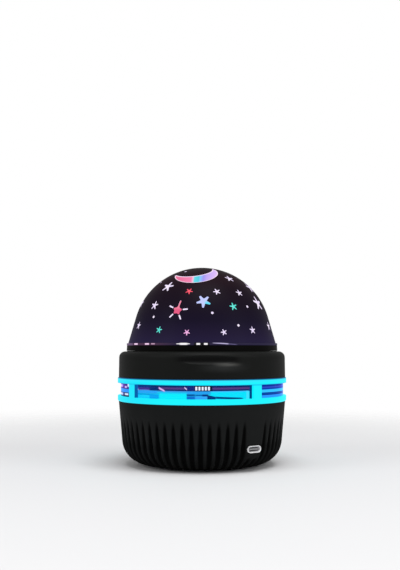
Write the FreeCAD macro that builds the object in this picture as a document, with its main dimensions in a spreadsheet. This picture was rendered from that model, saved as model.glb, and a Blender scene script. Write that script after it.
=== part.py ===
import FreeCAD, Part
import math
import os
import Sketcher
from FreeCAD import Placement, Rotation, Vector

# Star projector for a table: a dark fluted bowl on four feet, a glowing ladder ring,
# an upper housing with a thumb scoop, and a motor-turned dome pierced with stars.
# The origin is the bottom centre, +Z is up, the charging port faces +Y and the
# buttons face -Y between two posts of the ring.

doc = FreeCAD.newDocument("star_projector")
sheet = doc.addObject("Spreadsheet::Sheet", "sizes")

DRIVING_SIZES = {
    # feet and base plate
    "foot_lift": "0.8",
    "foot_radius": "4",
    "foot_thickness": "1.8",
    "foot_edge": "0.4",
    "foot_circle": "25",
    "plate_radius": "30.4",
    "plate_thickness": "1.8",
    "plate_clearance": "0.3",
    "base_screw_circle": "26.5",
    "base_screw_radius": "1.1",
    "base_head_radius": "2",
    "base_head_height": "0.9",
    "base_head_sink": "1",
    "base_screw_grip": "7",
    "screw_clearance": "0.2",
    "pilot_clearance": "0.02",
    # battery
    "battery_length": "40",
    "battery_width": "30",
    "battery_thickness": "6",
    "battery_edge": "2",
    "fence_gap": "0.2",
    "fence_wall": "1.2",
    "fence_height": "2.5",
    # lower bowl
    "ring_radius": "50",
    "shell_inset": "0.6",
    "lower_height": "37.05",
    "bowl_taper": "4.8",
    "bowl_corner": "14.5",
    "bowl_inner_corner": "11.5",
    "lower_wall": "2.4",
    "floor_thickness": "3.8",
    "floor_opening": "28",
    "seat_drop": "3.55",
    "seat_width": "2.2",
    "seat_slope": "2.8",
    "lug_radius": "3.4",
    "board_level": "10.07",
    # flutes
    "flute_depth": "1.4",
    "flute_foot_depth": "0.56",
    "short_flute_start": "28",
    "short_flute_run": "14",
    # charging port
    "port_height": "12.9",
    "port_width": "8.94",
    "port_opening": "3.26",
    "port_metal": "0.31",
    "port_length": "7.35",
    "port_reach": "47.1",
    "rim_wall": "0.3",
    "rim_length": "2.6",
    "rim_reach": "47.35",
    "rim_gap": "0.03",
    "rim_hole_gap": "0.05",
    "rim_recess": "0.7",
    "rim_recess_depth": "0.7",
    "tongue_width": "6.69",
    "tongue_thickness": "0.7",
    "tongue_setback": "0.6",
    "port_plug": "1.5",
    "pocket_half_width": "7.2",
    "pocket_reach": "45",
    "pocket_height": "6.4",
    "pocket_start": "35",
    # main board
    "board_thickness": "1.2",
    "board_radius": "31",
    "board_gap": "0.3",
    "chip_side": "7",
    "chip_height": "1.2",
    "coil_side": "5.5",
    "coil_height": "3",
    "capacitor_radius": "2.5",
    "capacitor_height": "4.2",
    "plug_length": "8",
    "plug_width": "4",
    "plug_height": "3.6",
    "board_part_spread": "11",
    # middle frame
    "frame_gap": "0.4",
    "frame_thickness": "2.5",
    "frame_hole": "6",
    "drum_radius": "43",
    "drum_wall": "1.6",
    "post_circle": "42.2",
    "post_radius": "2.7",
    "leg_radius": "3.2",
    "case_screw_radius": "1",
    "case_head_radius": "1.9",
    "case_head_height": "1.1",
    "case_screw_grip": "4",
    # light ring
    "ring_height": "13.95",
    "ring_thickness": "1.75",
    "rail_height": "3.2",
    "rail_round": "0.9",
    "post_angle": "6.65",
    "band_gap": "0.05",
    "band_thickness": "1.8",
    "strip_thickness": "0.25",
    "strip_height": "5",
    "strip_top_drop": "1.2",
    "strip_angle": "70",
    "glow_chip_depth": "0.9",
    "glow_chip_height": "1.9",
    "glow_chip_angle": "1.3",
    "glow_chip_pitch": "2.25",
    "glow_chip_drop": "4.15",
    "glow_chip_turn": "52.45",
    # upper housing
    "upper_height": "15.1",
    "upper_wall": "2.2",
    "upper_lean": "0.25",
    "shoulder_round": "3.6",
    "inner_round": "1.4",
    "deck_opening": "40.6",
    "upper_lug_height": "4.8",
    "scoop_section": "3.4",
    "scoop_depth": "1.5",
    "scoop_sweep": "100",
    "scoop_drop": "4.3",
    "scoop_turn": "56",
    # buttons
    "button_radius": "2.8",
    "button_flange": "0.6",
    "button_flange_thickness": "1",
    "button_gap": "0.3",
    "button_proud": "0.5",
    "button_edge": "0.4",
    "button_pitch": "9",
    "button_drop": "6",
    "button_travel": "0.5",
    "button_flange_reach": "45.1",
    "button_board_half": "14",
    "button_board_height": "7.6",
    "button_board_thickness": "1.2",
    "switch_side": "3.5",
    "switch_depth": "1.2",
    "stem_radius": "0.9",
    "stem_length": "0.4",
    # motor and drive
    "gear_module": "1.2",
    "motor_radius": "10",
    "motor_height": "13.2",
    "motor_edge": "0.8",
    "motor_cup_wall": "1.2",
    "motor_cup_height": "4",
    "gearbox_height": "5.5",
    "ear_drop": "3.5",
    "ear_thickness": "1.2",
    "ear_spread": "15",
    "ear_radius": "3.2",
    "motor_post_radius": "2.5",
    "motor_screw_radius": "1",
    "motor_head_radius": "1.9",
    "motor_head_height": "1.2",
    "motor_screw_grip": "7",
    "shaft_radius": "1.5",
    "shaft_depth": "2",
    "running_gap": "0.05",
    "gear_height": "4",
    "gear_wall": "1.7",
    "gear_gap": "0.3",
    "gear_backlash": "0.3",
    # lamp pillar and turntable
    "pillar_radius": "12",
    "pillar_wall": "2.5",
    "pillar_flange": "16",
    "pillar_flange_thickness": "2",
    "pillar_screw_circle": "14",
    "pillar_screw_radius": "1",
    "pillar_head_radius": "1.6",
    "pillar_head_height": "1.1",
    "shoulder_radius": "15",
    "shoulder_thickness": "3",
    "washer_thickness": "0.6",
    "axial_gap": "0.1",
    "bush_wall": "1.5",
    "hub_wall": "2.5",
    "hub_below": "4.8",
    "hub_above": "2.1",
    "turntable_radius": "40",
    "turntable_thickness": "2",
    "clip_thickness": "0.8",
    "clip_width": "2",
    "clip_groove": "0.6",
    "clip_opening": "30",
    # collar and domes
    "deck_gap": "0.4",
    "collar_height": "3.1",
    "collar_radius": "44.8",
    "collar_lean": "0.2",
    "spigot_radius": "40",
    "spigot_wall": "3.6",
    "spigot_drop": "3.4",
    "collar_screw_radius": "1",
    "collar_head_radius": "1.6",
    "collar_head_height": "1.2",
    "collar_screw_grip": "4.5",
    "flange_radius": "44.7",
    "flange_thickness": "1.3",
    "flange_round": "0.25",
    "cap_gap": "0.1",
    "dome_radius": "40.9",
    "dome_rise": "3.9",
    "dome_draft": "16.5",
    "mask_wall": "1.4",
    "dome_gap": "0.3",
    "clear_wall": "1.2",
    "window_gap": "0.05",
    "window_sink": "0.12",
    # lamp
    "sink_radius": "13",
    "sink_thickness": "3",
    "sink_spigot": "3",
    "lamp_board_radius": "11",
    "lamp_board_thickness": "1.2",
    "lamp_chip_side": "2.4",
    "lamp_chip_height": "0.9",
    "lamp_chip_spread": "2.2",
    "lamp_screw_circle": "8",
    "lamp_screw_radius": "0.9",
    "lamp_head_radius": "1.6",
    "lamp_head_height": "0.8",
    "lamp_screw_grip": "3.2",
    # shared
    "overrun": "2",
}

for row, (alias, text) in enumerate(DRIVING_SIZES.items(), start=1):
    sheet.set(f"A{row}", alias)
    sheet.set(f"B{row}", text)
    sheet.setAlias(f"B{row}", alias)
doc.recompute()


class Size:
    """A length or angle: its value now, and the sheet expression that gives it."""

    def __init__(self, value, text):
        self.value = value
        self.text = text

    def __add__(self, other):
        other = as_size(other)
        return Size(self.value + other.value, f"({self.text} + {other.text})")

    def __radd__(self, other):
        return as_size(other) + self

    def __sub__(self, other):
        other = as_size(other)
        return Size(self.value - other.value, f"({self.text} - {other.text})")

    def __rsub__(self, other):
        return as_size(other) - self

    def __mul__(self, other):
        other = as_size(other)
        return Size(self.value * other.value, f"({self.text} * {other.text})")

    def __rmul__(self, other):
        return as_size(other) * self

    def __truediv__(self, other):
        other = as_size(other)
        return Size(self.value / other.value, f"({self.text} / {other.text})")

    def __neg__(self):
        return Size(-self.value, f"(0 - {self.text})")


def as_size(number):
    """Wrap a plain number so that it can stand in a sum of sizes."""
    if isinstance(number, Size):
        return number
    return Size(float(number), repr(float(number)))


def sine(angle):
    return Size(math.sin(math.radians(angle.value)), f"sin({angle.text} * 1 deg)")


def cosine(angle):
    return Size(math.cos(math.radians(angle.value)), f"cos({angle.text} * 1 deg)")


def tangent(angle):
    return Size(math.tan(math.radians(angle.value)), f"tan({angle.text} * 1 deg)")


def root(square):
    return Size(math.sqrt(square.value), f"sqrt({square.text})")


class SheetSizes:
    """The named cells of the sheet, each read as a Size."""

    def __getattr__(self, alias):
        return Size(float(sheet.get(alias)), f"sizes.{alias}")


s = SheetSizes()

# Levels above the table, each from the one below it.
base_level = s.foot_lift
plate_top = base_level + s.plate_thickness
lower_top = base_level + s.lower_height
ring_top = lower_top + s.ring_height
deck_top = ring_top + s.upper_height
collar_base = deck_top + s.deck_gap
collar_top = collar_base + s.collar_height
flange_top = collar_top + s.flange_thickness
dome_foot = flange_top + s.cap_gap
dome_centre = dome_foot + s.dome_rise
seat_level = lower_top - s.seat_drop
frame_top = seat_level + s.frame_thickness
board_top = s.board_level + s.board_thickness
deck_under = deck_top - s.upper_wall
table_top = collar_base - s.spigot_drop
table_under = table_top - s.turntable_thickness

# Teeth of the drive, and shares of their own pieces that shape small details.
ring_teeth = 55
pinion_teeth = 10
head_rim_share = 0.6
head_crown_share = 0.7
web_share = 0.6
web_start_share = 0.5

# Radii shared by more than one piece.
shell_radius = s.ring_radius - s.shell_inset
ring_inner = s.ring_radius - s.ring_thickness
band_outer = ring_inner - s.band_gap
bowl_foot_radius = shell_radius - s.lower_height * tangent(s.bowl_taper)

# How closely an edge has to lie to its named place to be the one meant.
match_tolerance_share = 0.001
match_tolerance = match_tolerance_share * s.ring_radius.value

pieces = {}


def new_body(label):
    """A body whose label names its file."""
    body = doc.addObject("PartDesign::Body", label)
    body.Label = label
    body.AllowCompound = True
    pieces[label] = body
    return body


def origin_feature(body, role):
    return next(item for item in body.Origin.OriginFeatures if item.Role == role)


def pin(sketch, geometry, point, across, up):
    """Hold one sketch point to its two sizes."""
    for kind, axis, size in (("DistanceX", -2, across), ("DistanceY", -1, up)):
        size = as_size(size)
        if size.value == 0:
            sketch.addConstraint(Sketcher.Constraint("PointOnObject", geometry, point, axis))
        else:
            index = sketch.addConstraint(
                Sketcher.Constraint(kind, -1, 1, geometry, point, size.value))
            sketch.setExpression(f"Constraints[{index}]", size.text)


def following_place(places, number):
    return places[(number + 1) % len(places)]


def half_round(start, end, radius):
    """Whether an arc is a half circle, which its ends and its centre line settle."""
    return abs((end - start).Length - 2 * radius.value) < match_tolerance


def add_outline(sketch, outline):
    """A closed outline. A corner is (across, up), or (across, up, radius, side) where the
    edge that leaves it is an arc whose centre lies on its left (1) or right (-1)."""
    places = [Vector(as_size(corner[0]).value, as_size(corner[1]).value, 0) for corner in outline]
    edges = []
    for number, corner in enumerate(outline):
        start = places[number]
        end = following_place(places, number)
        if len(corner) == 2:
            geometry = sketch.addGeometry(Part.LineSegment(start, end), False)
            edges.append((geometry, 1, 2))
            continue
        radius, side = corner[2], corner[3]
        chord = end - start
        left = Vector(-chord.y, chord.x, 0).normalize()
        height = math.sqrt(max(radius.value ** 2 - (chord.Length / 2) ** 2, 0))
        crown = start + chord * 0.5 + left * (side * (height - radius.value))
        geometry = sketch.addGeometry(Part.Arc(start, crown, end), False)
        edges.append((geometry, 1, 2) if side > 0 else (geometry, 2, 1))
    for number, (geometry, _, last) in enumerate(edges):
        following = edges[(number + 1) % len(edges)]
        sketch.addConstraint(Sketcher.Constraint("Coincident", geometry, last, following[0], following[1]))
    for number, corner in enumerate(outline):
        geometry, first, _ = edges[number]
        pin(sketch, geometry, first, corner[0], corner[1])
        if len(corner) == 4 and half_round(places[number], following_place(places, number), corner[2]):
            sketch.addConstraint(Sketcher.Constraint("Vertical", geometry, 3, geometry, first))
        elif len(corner) == 4:
            index = sketch.addConstraint(Sketcher.Constraint("Radius", geometry, corner[2].value))
            sketch.setExpression(f"Constraints[{index}]", corner[2].text)


def add_circle(sketch, across, up, radius):
    """A full circle, held by its centre and radius."""
    centre = Vector(as_size(across).value, as_size(up).value, 0)
    geometry = sketch.addGeometry(Part.Circle(centre, Vector(0, 0, 1), radius.value), False)
    pin(sketch, geometry, 3, across, up)
    index = sketch.addConstraint(Sketcher.Constraint("Radius", geometry, radius.value))
    sketch.setExpression(f"Constraints[{index}]", radius.text)


def new_sketch(body, name, role, turn=None, offset=None):
    """A sketch on one of the body's own origin planes. turn swings an upright plane about
    the vertical axis, and offset moves the plane along its normal."""
    sketch = body.newObject("Sketcher::SketchObject", f"{body.Name}_{name}")
    sketch.AttachmentSupport = [(origin_feature(body, role), "")]
    sketch.MapMode = "FlatFace"
    if turn is not None:
        turn = as_size(turn)
        sketch.AttachmentOffset = Placement(Vector(), Rotation(Vector(0, 1, 0), turn.value))
        if turn.value != 0:
            sketch.setExpression("AttachmentOffset.Rotation.Angle", turn.text)
    if offset is not None:
        sketch.setExpression("AttachmentOffset.Base.z", as_size(offset).text)
    return sketch


def finish_feature(body, feature):
    body.Tip = feature
    return feature


def revolve(body, name, outlines, axis=None, turn=None, cut=False, angle=None, role="XZ_Plane", offset=None):
    """Turn closed outlines about the vertical axis, or about the line through the two
    points of axis. With an angle, the turn is centred on the sketch plane."""
    sketch = new_sketch(body, f"{name}_outline", role, turn, offset)
    for outline in outlines:
        if len(outline) == 3 and not isinstance(outline[0], tuple):
            add_circle(sketch, *outline)
        else:
            add_outline(sketch, outline)
    if axis is not None:
        ends = [Vector(as_size(across).value, as_size(up).value, 0) for across, up in axis]
        line = sketch.addGeometry(Part.LineSegment(*ends), True)
        for point, (across, up) in enumerate(axis, start=1):
            pin(sketch, line, point, across, up)
    kind = "PartDesign::Groove" if cut else "PartDesign::Revolution"
    feature = body.newObject(kind, f"{body.Name}_{name}")
    feature.Profile = sketch
    feature.ReferenceAxis = (sketch, ["V_Axis"] if axis is None else ["Axis0"])
    if angle is not None:
        feature.setExpression("Angle", angle.text)
        feature.Midplane = True
    return finish_feature(body, feature)


def upright_axis(across):
    """The vertical line at a distance from the centre, for round bosses and screws."""
    return ((across, 0), (across, s.ring_radius))


def pad(body, name, outlines, height, role="XY_Plane", offset=None, turn=None, cut=False, backwards=False):
    """Extrude closed outlines along the plane's normal, or against it when backwards."""
    sketch = new_sketch(body, f"{name}_outline", role, turn, offset)
    for outline in outlines:
        if len(outline) == 3 and not isinstance(outline[0], tuple):
            add_circle(sketch, *outline)
        else:
            add_outline(sketch, outline)
    kind = "PartDesign::Pocket" if cut else "PartDesign::Pad"
    feature = body.newObject(kind, f"{body.Name}_{name}")
    feature.Profile = sketch
    feature.setExpression("Length", as_size(height).text)
    feature.Reversed = backwards
    return finish_feature(body, feature)


def ring_of(body, name, features, count, angle=None):
    """Repeat features evenly about the vertical axis."""
    pattern = body.newObject("PartDesign::PolarPattern", f"{body.Name}_{name}")
    pattern.Originals = features
    pattern.Axis = (origin_feature(body, "Z_Axis"), [""])
    pattern.Angle = 360 if angle is None else angle
    pattern.Occurrences = count
    return finish_feature(body, pattern)


def round_edges(body, name, rings, radius):
    """Fillet the circular edges that lie at the given (radius, level) pairs."""
    doc.recompute()
    base = body.Tip
    names = []
    for number, edge in enumerate(base.Shape.Edges, start=1):
        if edge.Degenerated or not isinstance(edge.Curve, Part.Circle):
            continue
        for across, up in rings:
            near_radius = abs(edge.Curve.Radius - across.value) < match_tolerance
            near_level = abs(edge.Curve.Center.z - up.value) < match_tolerance
            if near_radius and near_level:
                names.append(f"Edge{number}")
    feature = body.newObject("PartDesign::Fillet", f"{body.Name}_{name}")
    feature.Base = (base, names)
    feature.setExpression("Radius", radius.text)
    return finish_feature(body, feature)


def rectangle(left, bottom, right, top):
    return [(left, bottom), (right, bottom), (right, top), (left, top)]


def slot(half_width, centre, half_height):
    """A slot with half-round ends about the upright centre line."""
    straight = half_width - half_height
    return [
        (-straight, centre - half_height),
        (straight, centre - half_height, half_height, 1),
        (straight, centre + half_height),
        (-straight, centre + half_height, half_height, 1),
    ]


def wall_face(level):
    """Where the bowl's outer corner arc stands at a level below the straight wall."""
    return bowl_arc_across + root(s.bowl_corner * s.bowl_corner - (bowl_arc_up - level) * (bowl_arc_up - level))


# Centre of the arc that joins the flat bottom to the tapered wall.
corner_reach = tangent((90 - s.bowl_taper) / 2)
bowl_arc_across = bowl_foot_radius - s.bowl_corner * corner_reach
bowl_arc_up = base_level + s.bowl_corner


# Four rubber feet, pressed into round recesses under the base plate.
feet = new_body("foot_pads")
foot = revolve(feet, "foot", [[
    (s.foot_circle, 0),
    (s.foot_circle + s.foot_radius - s.foot_edge, 0),
    (s.foot_circle + s.foot_radius, s.foot_edge),
    (s.foot_circle + s.foot_radius, s.foot_thickness),
    (s.foot_circle, s.foot_thickness),
]], axis=upright_axis(s.foot_circle), turn=45)
ring_of(feet, "four_feet", [foot], 4)


# Round plate that closes the bowl from below, with a fence that holds the battery.
plate = new_body("base_plate")
revolve(plate, "disc", [rectangle(0, base_level, s.plate_radius, plate_top)])
foot_recess = revolve(plate, "foot_recess", [
    rectangle(s.foot_circle, base_level, s.foot_circle + s.foot_radius, s.foot_thickness),
], axis=upright_axis(s.foot_circle), turn=45, cut=True)
ring_of(plate, "foot_recesses", [foot_recess], 4)
head_seat = base_level + s.base_head_sink
plate_hole = revolve(plate, "screw_hole", [[
    (s.base_screw_circle, base_level),
    (s.base_screw_circle + s.base_head_radius + s.screw_clearance, base_level),
    (s.base_screw_circle + s.base_head_radius + s.screw_clearance, head_seat),
    (s.base_screw_circle + s.base_screw_radius + s.screw_clearance, head_seat),
    (s.base_screw_circle + s.base_screw_radius + s.screw_clearance, plate_top),
    (s.base_screw_circle, plate_top),
]], axis=upright_axis(s.base_screw_circle), turn=0, cut=True)
ring_of(plate, "screw_holes", [plate_hole], 4)
fence_inner_x = s.battery_length / 2 + s.fence_gap
fence_inner_y = s.battery_width / 2 + s.fence_gap
fence_outer_x = fence_inner_x + s.fence_wall
fence_outer_y = fence_inner_y + s.fence_wall
pad(plate, "fence", [
    rectangle(-fence_outer_x, -fence_outer_y, fence_outer_x, fence_outer_y),
    rectangle(-fence_inner_x, -fence_inner_y, fence_inner_x, fence_inner_y),
], s.fence_height, offset=plate_top)


# Flat rechargeable cell, lying on the base plate inside its fence.
battery = new_body("battery_cell")
half_length = s.battery_length / 2
half_width = s.battery_width / 2
round_x = half_length - s.battery_edge
round_y = half_width - s.battery_edge
pad(battery, "cell", [[
    (-round_x, -half_width),
    (round_x, -half_width, s.battery_edge, 1),
    (half_length, -round_y),
    (half_length, round_y, s.battery_edge, 1),
    (round_x, half_width),
    (-round_x, half_width, s.battery_edge, 1),
    (-half_length, round_y),
    (-half_length, -round_y, s.battery_edge, 1),
]], s.battery_thickness, offset=plate_top)


# Fluted bowl, moulded in one piece with the seat for the middle frame, four lugs over
# the base screws and a pocket behind the charging port.
bowl = new_body("lower_shell")
inner_top = shell_radius - s.lower_wall
inner_seat = inner_top - s.seat_drop * tangent(s.bowl_taper)
inner_slope = inner_seat - s.seat_slope * tangent(s.bowl_taper)
floor_top = base_level + s.floor_thickness
inner_foot = inner_top - (lower_top - floor_top) * tangent(s.bowl_taper)
step_radius = s.plate_radius + s.plate_clearance
revolve(bowl, "wall", [[
    (step_radius, base_level),
    (bowl_foot_radius + s.overrun, base_level),
    (shell_radius + s.overrun, lower_top),
    (inner_top, lower_top),
    (inner_seat, seat_level),
    (inner_seat - s.seat_width, seat_level),
    (inner_slope, seat_level - s.seat_slope),
    (inner_foot, floor_top),
    (s.floor_opening, floor_top),
    (s.floor_opening, plate_top),
    (step_radius, plate_top),
]])
round_edges(bowl, "inner_corner", [(inner_foot, floor_top)], s.bowl_inner_corner)
lug = revolve(bowl, "lug", [rectangle(
    s.base_screw_circle + s.base_screw_radius + s.screw_clearance,
    plate_top,
    s.base_screw_circle + s.lug_radius,
    s.board_level,
)], axis=upright_axis(s.base_screw_circle), turn=0)
ring_of(bowl, "lugs", [lug], 4)
pocket_low = s.board_level - s.board_gap
pad(bowl, "port_pocket", [
    rectangle(-s.pocket_half_width, pocket_low, s.pocket_half_width, pocket_low + s.pocket_height),
], s.pocket_reach - s.pocket_start, role="XZ_Plane", offset=-s.pocket_start, cut=True)
rim_half_width = s.port_width / 2 + s.rim_gap + s.rim_wall
rim_half_height = s.port_opening / 2 + s.rim_gap + s.rim_wall
pad(bowl, "port_hole", [
    slot(rim_half_width + s.rim_hole_gap, s.port_height, rim_half_height + s.rim_hole_gap),
], s.ring_radius - s.pocket_start, role="XZ_Plane", offset=-s.pocket_start, cut=True)
recess_face = wall_face(s.port_height) - s.rim_recess_depth
pad(bowl, "port_recess", [
    slot(rim_half_width + s.rim_recess, s.port_height, rim_half_height + s.rim_recess),
], s.ring_radius - recess_face, role="XZ_Plane", offset=-recess_face, cut=True)


# Flutes of the bowl: how many, where along the outline each row of surface points lies
# (shares of the straight wall, then of the corner arc), and across one flute.
flute_count = 60
flute_pitch = 360 / flute_count
port_turn = 90
wall_row_shares = [0, 0.2, 0.33, 0.46, 0.58, 0.7, 0.82, 0.92, 1]
flute_start_share = 0.33
corner_row_shares = [0.12, 0.24, 0.36, 0.48, 0.6, 0.72, 0.84, 0.93, 1]
flute_point_shares = [0, 0.05, 0.13, 0.25, 0.38, 0.5, 0.62, 0.75, 0.87, 0.95, 1]
narrow_power_share = 3
wide_power_share = 0.62


def outline_row(corner, share):
    """A point of the smooth outer outline, its outward direction, and the flute's depth
    and profile power there. A power above one gives a thin groove between broad lands,
    and one below it a broad groove between thin ribs."""
    radius = s.bowl_corner.value
    taper = s.bowl_taper.value
    if not corner:
        foot = Vector(bowl_arc_across.value, 0, bowl_arc_up.value)
        outward = Vector(math.cos(math.radians(taper)), 0, -math.sin(math.radians(taper)))
        low = foot + outward * radius
        high = Vector(shell_radius.value, 0, lower_top.value)
        place = high + (low - high) * share
        full = min(max((share - flute_start_share) / (1 - flute_start_share), 0), 1)
        power = narrow_power_share + (wide_power_share - narrow_power_share) * full
        return place, outward, s.flute_depth.value * full, power, taper
    angle = taper + (90 - taper) * share
    outward = Vector(math.cos(math.radians(angle)), 0, -math.sin(math.radians(angle)))
    place = Vector(bowl_arc_across.value, 0, bowl_arc_up.value) + outward * radius
    depth = s.flute_depth.value + (s.flute_foot_depth.value - s.flute_depth.value) * share
    return place, outward, depth if share < 1 else 0, wide_power_share, angle


def cubic_knots(poles):
    """Even knots and their multiplicities for a cubic curve clamped at both ends."""
    inner = poles - 4
    return list(range(inner + 2)), [4] + [1] * inner + [4]


def flute_face(number):
    """The outer surface of one flute, from the crest of one rib to the next. The two
    beside the port stay smooth until below it."""
    beside_port = number in (0, flute_count - 1)
    rows = [(False, share) for share in wall_row_shares] + [(True, share) for share in corner_row_shares]
    grid = []
    for corner, share in rows:
        place, outward, depth, power, angle = outline_row(corner, share)
        if beside_port:
            below = (angle - s.short_flute_start.value) / s.short_flute_run.value
            depth *= min(max(below, 0), 1)
        line = []
        for across in flute_point_shares:
            groove = abs(math.sin(math.pi * across)) ** (2 * power)
            point = place - outward * (depth * groove)
            turn = port_turn + flute_pitch * (number + across)
            line.append(Rotation(Vector(0, 0, 1), turn).multVec(point))
        grid.append(line)
    surface = Part.BSplineSurface()
    rows_knots, rows_mults = cubic_knots(len(grid))
    line_knots, line_mults = cubic_knots(len(flute_point_shares))
    surface.buildFromPolesMultsKnots(
        grid, rows_mults, line_mults, rows_knots, line_knots, False, False, 3, 3)
    return surface.toShape()


def flat_cap(faces, level):
    """A flat face across the ring of flute edges that lie at a level."""
    edges = []
    for face in faces:
        for edge in face.Edges:
            if all(abs(vertex.Z - level) < match_tolerance for vertex in edge.Vertexes):
                edges.append(edge)
    return Part.Face(Part.Wire(Part.sortEdges(edges)[0]))


def bowl_form():
    """The bowl's outside as one solid: every flute, closed flat above and below."""
    faces = [flute_face(number) for number in range(flute_count)]
    caps = [flat_cap(faces, lower_top.value), flat_cap(faces, base_level.value)]
    shell = Part.makeShell(faces + caps)
    shell.sewShape()
    form = Part.Solid(shell)
    if form.Volume < 0:
        form.reverse()
    return form


def new_feature(label, shape):
    """A piece whose solid is worked out by its own function."""
    feature = doc.addObject("Part::Feature", label)
    feature.Label = label
    feature.Shape = shape
    feature.Placement = Placement()
    pieces[label] = feature
    return feature


# The body is the blank, with everything inside the bowl, and the form is its outside.
doc.recompute()
del pieces["lower_shell"]
bowl.Label = "bowl_blank"
form = doc.addObject("Part::Feature", "bowl_form")
form.Shape = bowl_form()
new_feature("lower_shell", bowl.Shape.common(form.Shape))


# Bright metal rim that lines the port's hole in the bowl.
rim = new_body("port_rim")
pad(rim, "rim", [
    slot(rim_half_width, s.port_height, rim_half_height),
    slot(rim_half_width - s.rim_wall, s.port_height, rim_half_height - s.rim_wall),
], s.rim_length, role="XZ_Plane", offset=-s.rim_reach)


# Charging socket on the main board: a seamless metal shell round a plastic tongue.
socket = new_body("usb_shell")
socket_half_width = s.port_width / 2
socket_half_height = s.port_opening / 2
pad(socket, "shell", [
    slot(socket_half_width, s.port_height, socket_half_height),
    slot(socket_half_width - s.port_metal, s.port_height, socket_half_height - s.port_metal),
], s.port_length, role="XZ_Plane", offset=-s.port_reach)
tongue = new_body("usb_tongue")
socket_back = s.port_reach - s.port_length
pad(tongue, "plug", [
    slot(socket_half_width - s.port_metal, s.port_height, socket_half_height - s.port_metal),
], s.port_plug, role="XZ_Plane", offset=-(socket_back + s.port_plug))
pad(tongue, "tongue", [rectangle(
    -s.tongue_width / 2,
    s.port_height - s.tongue_thickness / 2,
    s.tongue_width / 2,
    s.port_height + s.tongue_thickness / 2,
)], s.port_length - s.tongue_setback, role="XZ_Plane", offset=-(s.port_reach - s.tongue_setback))


# Main board on the bowl's four lugs, with a nose that carries the socket.
board = new_body("main_board")
pad(board, "disc", [(0, 0, s.board_radius)], s.board_thickness, offset=s.board_level)
board_nose = s.pocket_half_width - s.board_gap
pad(board, "nose", [
    rectangle(-board_nose, 0, board_nose, s.pocket_reach - s.board_gap),
], s.board_thickness, offset=s.board_level)
board_hole = revolve(board, "screw_hole", [rectangle(
    s.base_screw_circle,
    s.board_level,
    s.base_screw_circle + s.base_screw_radius + s.screw_clearance,
    board_top,
)], axis=upright_axis(s.base_screw_circle), turn=0, cut=True)
ring_of(board, "screw_holes", [board_hole], 4)

board_parts = new_body("board_parts")
spread = s.board_part_spread
half_chip = s.chip_side / 2
pad(board_parts, "chip", [
    rectangle(-spread - half_chip, -half_chip, -spread + half_chip, half_chip),
], s.chip_height, offset=board_top)
half_coil = s.coil_side / 2
pad(board_parts, "coil", [
    rectangle(spread - half_coil, -half_coil, spread + half_coil, half_coil),
], s.coil_height, offset=board_top)
pad(board_parts, "capacitor", [(0, spread, s.capacitor_radius)], s.capacitor_height, offset=board_top)
pad(board_parts, "plug", [
    rectangle(-s.plug_length / 2, -spread - s.plug_width / 2, s.plug_length / 2, -spread + s.plug_width / 2),
], s.plug_height, offset=board_top)


# Middle frame: a disc on the bowl's seat, four legs down to the board, a drum that
# carries the glow strips, four posts behind the ring's posts, and the motor's cup.
frame = new_body("mid_frame")
frame_radius = inner_seat - s.frame_gap
motor_centre = s.gear_module * (ring_teeth - pinion_teeth) / 2
gearbox_base = frame_top + s.motor_height
ear_level = gearbox_base + s.gearbox_height - s.ear_drop
revolve(frame, "disc_and_drum", [[
    (s.frame_hole, seat_level),
    (frame_radius, seat_level),
    (frame_radius, frame_top),
    (s.drum_radius, frame_top),
    (s.drum_radius, ring_top),
    (s.drum_radius - s.drum_wall, ring_top),
    (s.drum_radius - s.drum_wall, frame_top),
    (s.frame_hole, frame_top),
]])
frame_post = revolve(frame, "post", [rectangle(
    s.post_circle, frame_top, s.post_circle + s.post_radius, ring_top,
)], axis=upright_axis(s.post_circle), turn=0)
ring_of(frame, "posts", [frame_post], 4)
frame_leg = revolve(frame, "leg", [rectangle(
    s.base_screw_circle, board_top, s.base_screw_circle + s.leg_radius, seat_level,
)], axis=upright_axis(s.base_screw_circle), turn=0)
ring_of(frame, "legs", [frame_leg], 4)
leg_pilot = revolve(frame, "leg_pilot", [rectangle(
    s.base_screw_circle,
    board_top,
    s.base_screw_circle + s.base_screw_radius + s.pilot_clearance,
    board_top + s.base_screw_grip + s.board_gap,
)], axis=upright_axis(s.base_screw_circle), turn=0, cut=True)
ring_of(frame, "leg_pilots", [leg_pilot], 4)
case_head_top = seat_level + s.case_head_height
post_hole = revolve(frame, "post_hole", [[
    (s.post_circle, seat_level),
    (s.post_circle + s.case_head_radius + s.screw_clearance, seat_level),
    (s.post_circle + s.case_head_radius + s.screw_clearance, case_head_top),
    (s.post_circle + s.case_screw_radius + s.screw_clearance, case_head_top),
    (s.post_circle + s.case_screw_radius + s.screw_clearance, ring_top),
    (s.post_circle, ring_top),
]], axis=upright_axis(s.post_circle), turn=0, cut=True)
ring_of(frame, "post_holes", [post_hole], 4)
cup_inner = s.motor_radius + s.running_gap
pad(frame, "motor_cup", [
    (motor_centre, 0, cup_inner + s.motor_cup_wall),
    (motor_centre, 0, cup_inner),
], s.motor_cup_height, offset=frame_top)
pad(frame, "motor_posts", [
    (motor_centre, s.ear_spread, s.motor_post_radius),
    (motor_centre, -s.ear_spread, s.motor_post_radius),
], ear_level - frame_top, offset=frame_top)
motor_pilot_depth = s.motor_screw_grip + s.board_gap
pad(frame, "motor_pilots", [
    (motor_centre, s.ear_spread, s.motor_screw_radius + s.pilot_clearance),
    (motor_centre, -s.ear_spread, s.motor_screw_radius + s.pilot_clearance),
], motor_pilot_depth, offset=ear_level - motor_pilot_depth, cut=True, backwards=True)
pillar_pilot = revolve(frame, "pillar_pilot", [rectangle(
    s.pillar_screw_circle,
    seat_level,
    s.pillar_screw_circle + s.pillar_screw_radius + s.pilot_clearance,
    frame_top,
)], axis=upright_axis(s.pillar_screw_circle), turn=180, cut=True)
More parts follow.
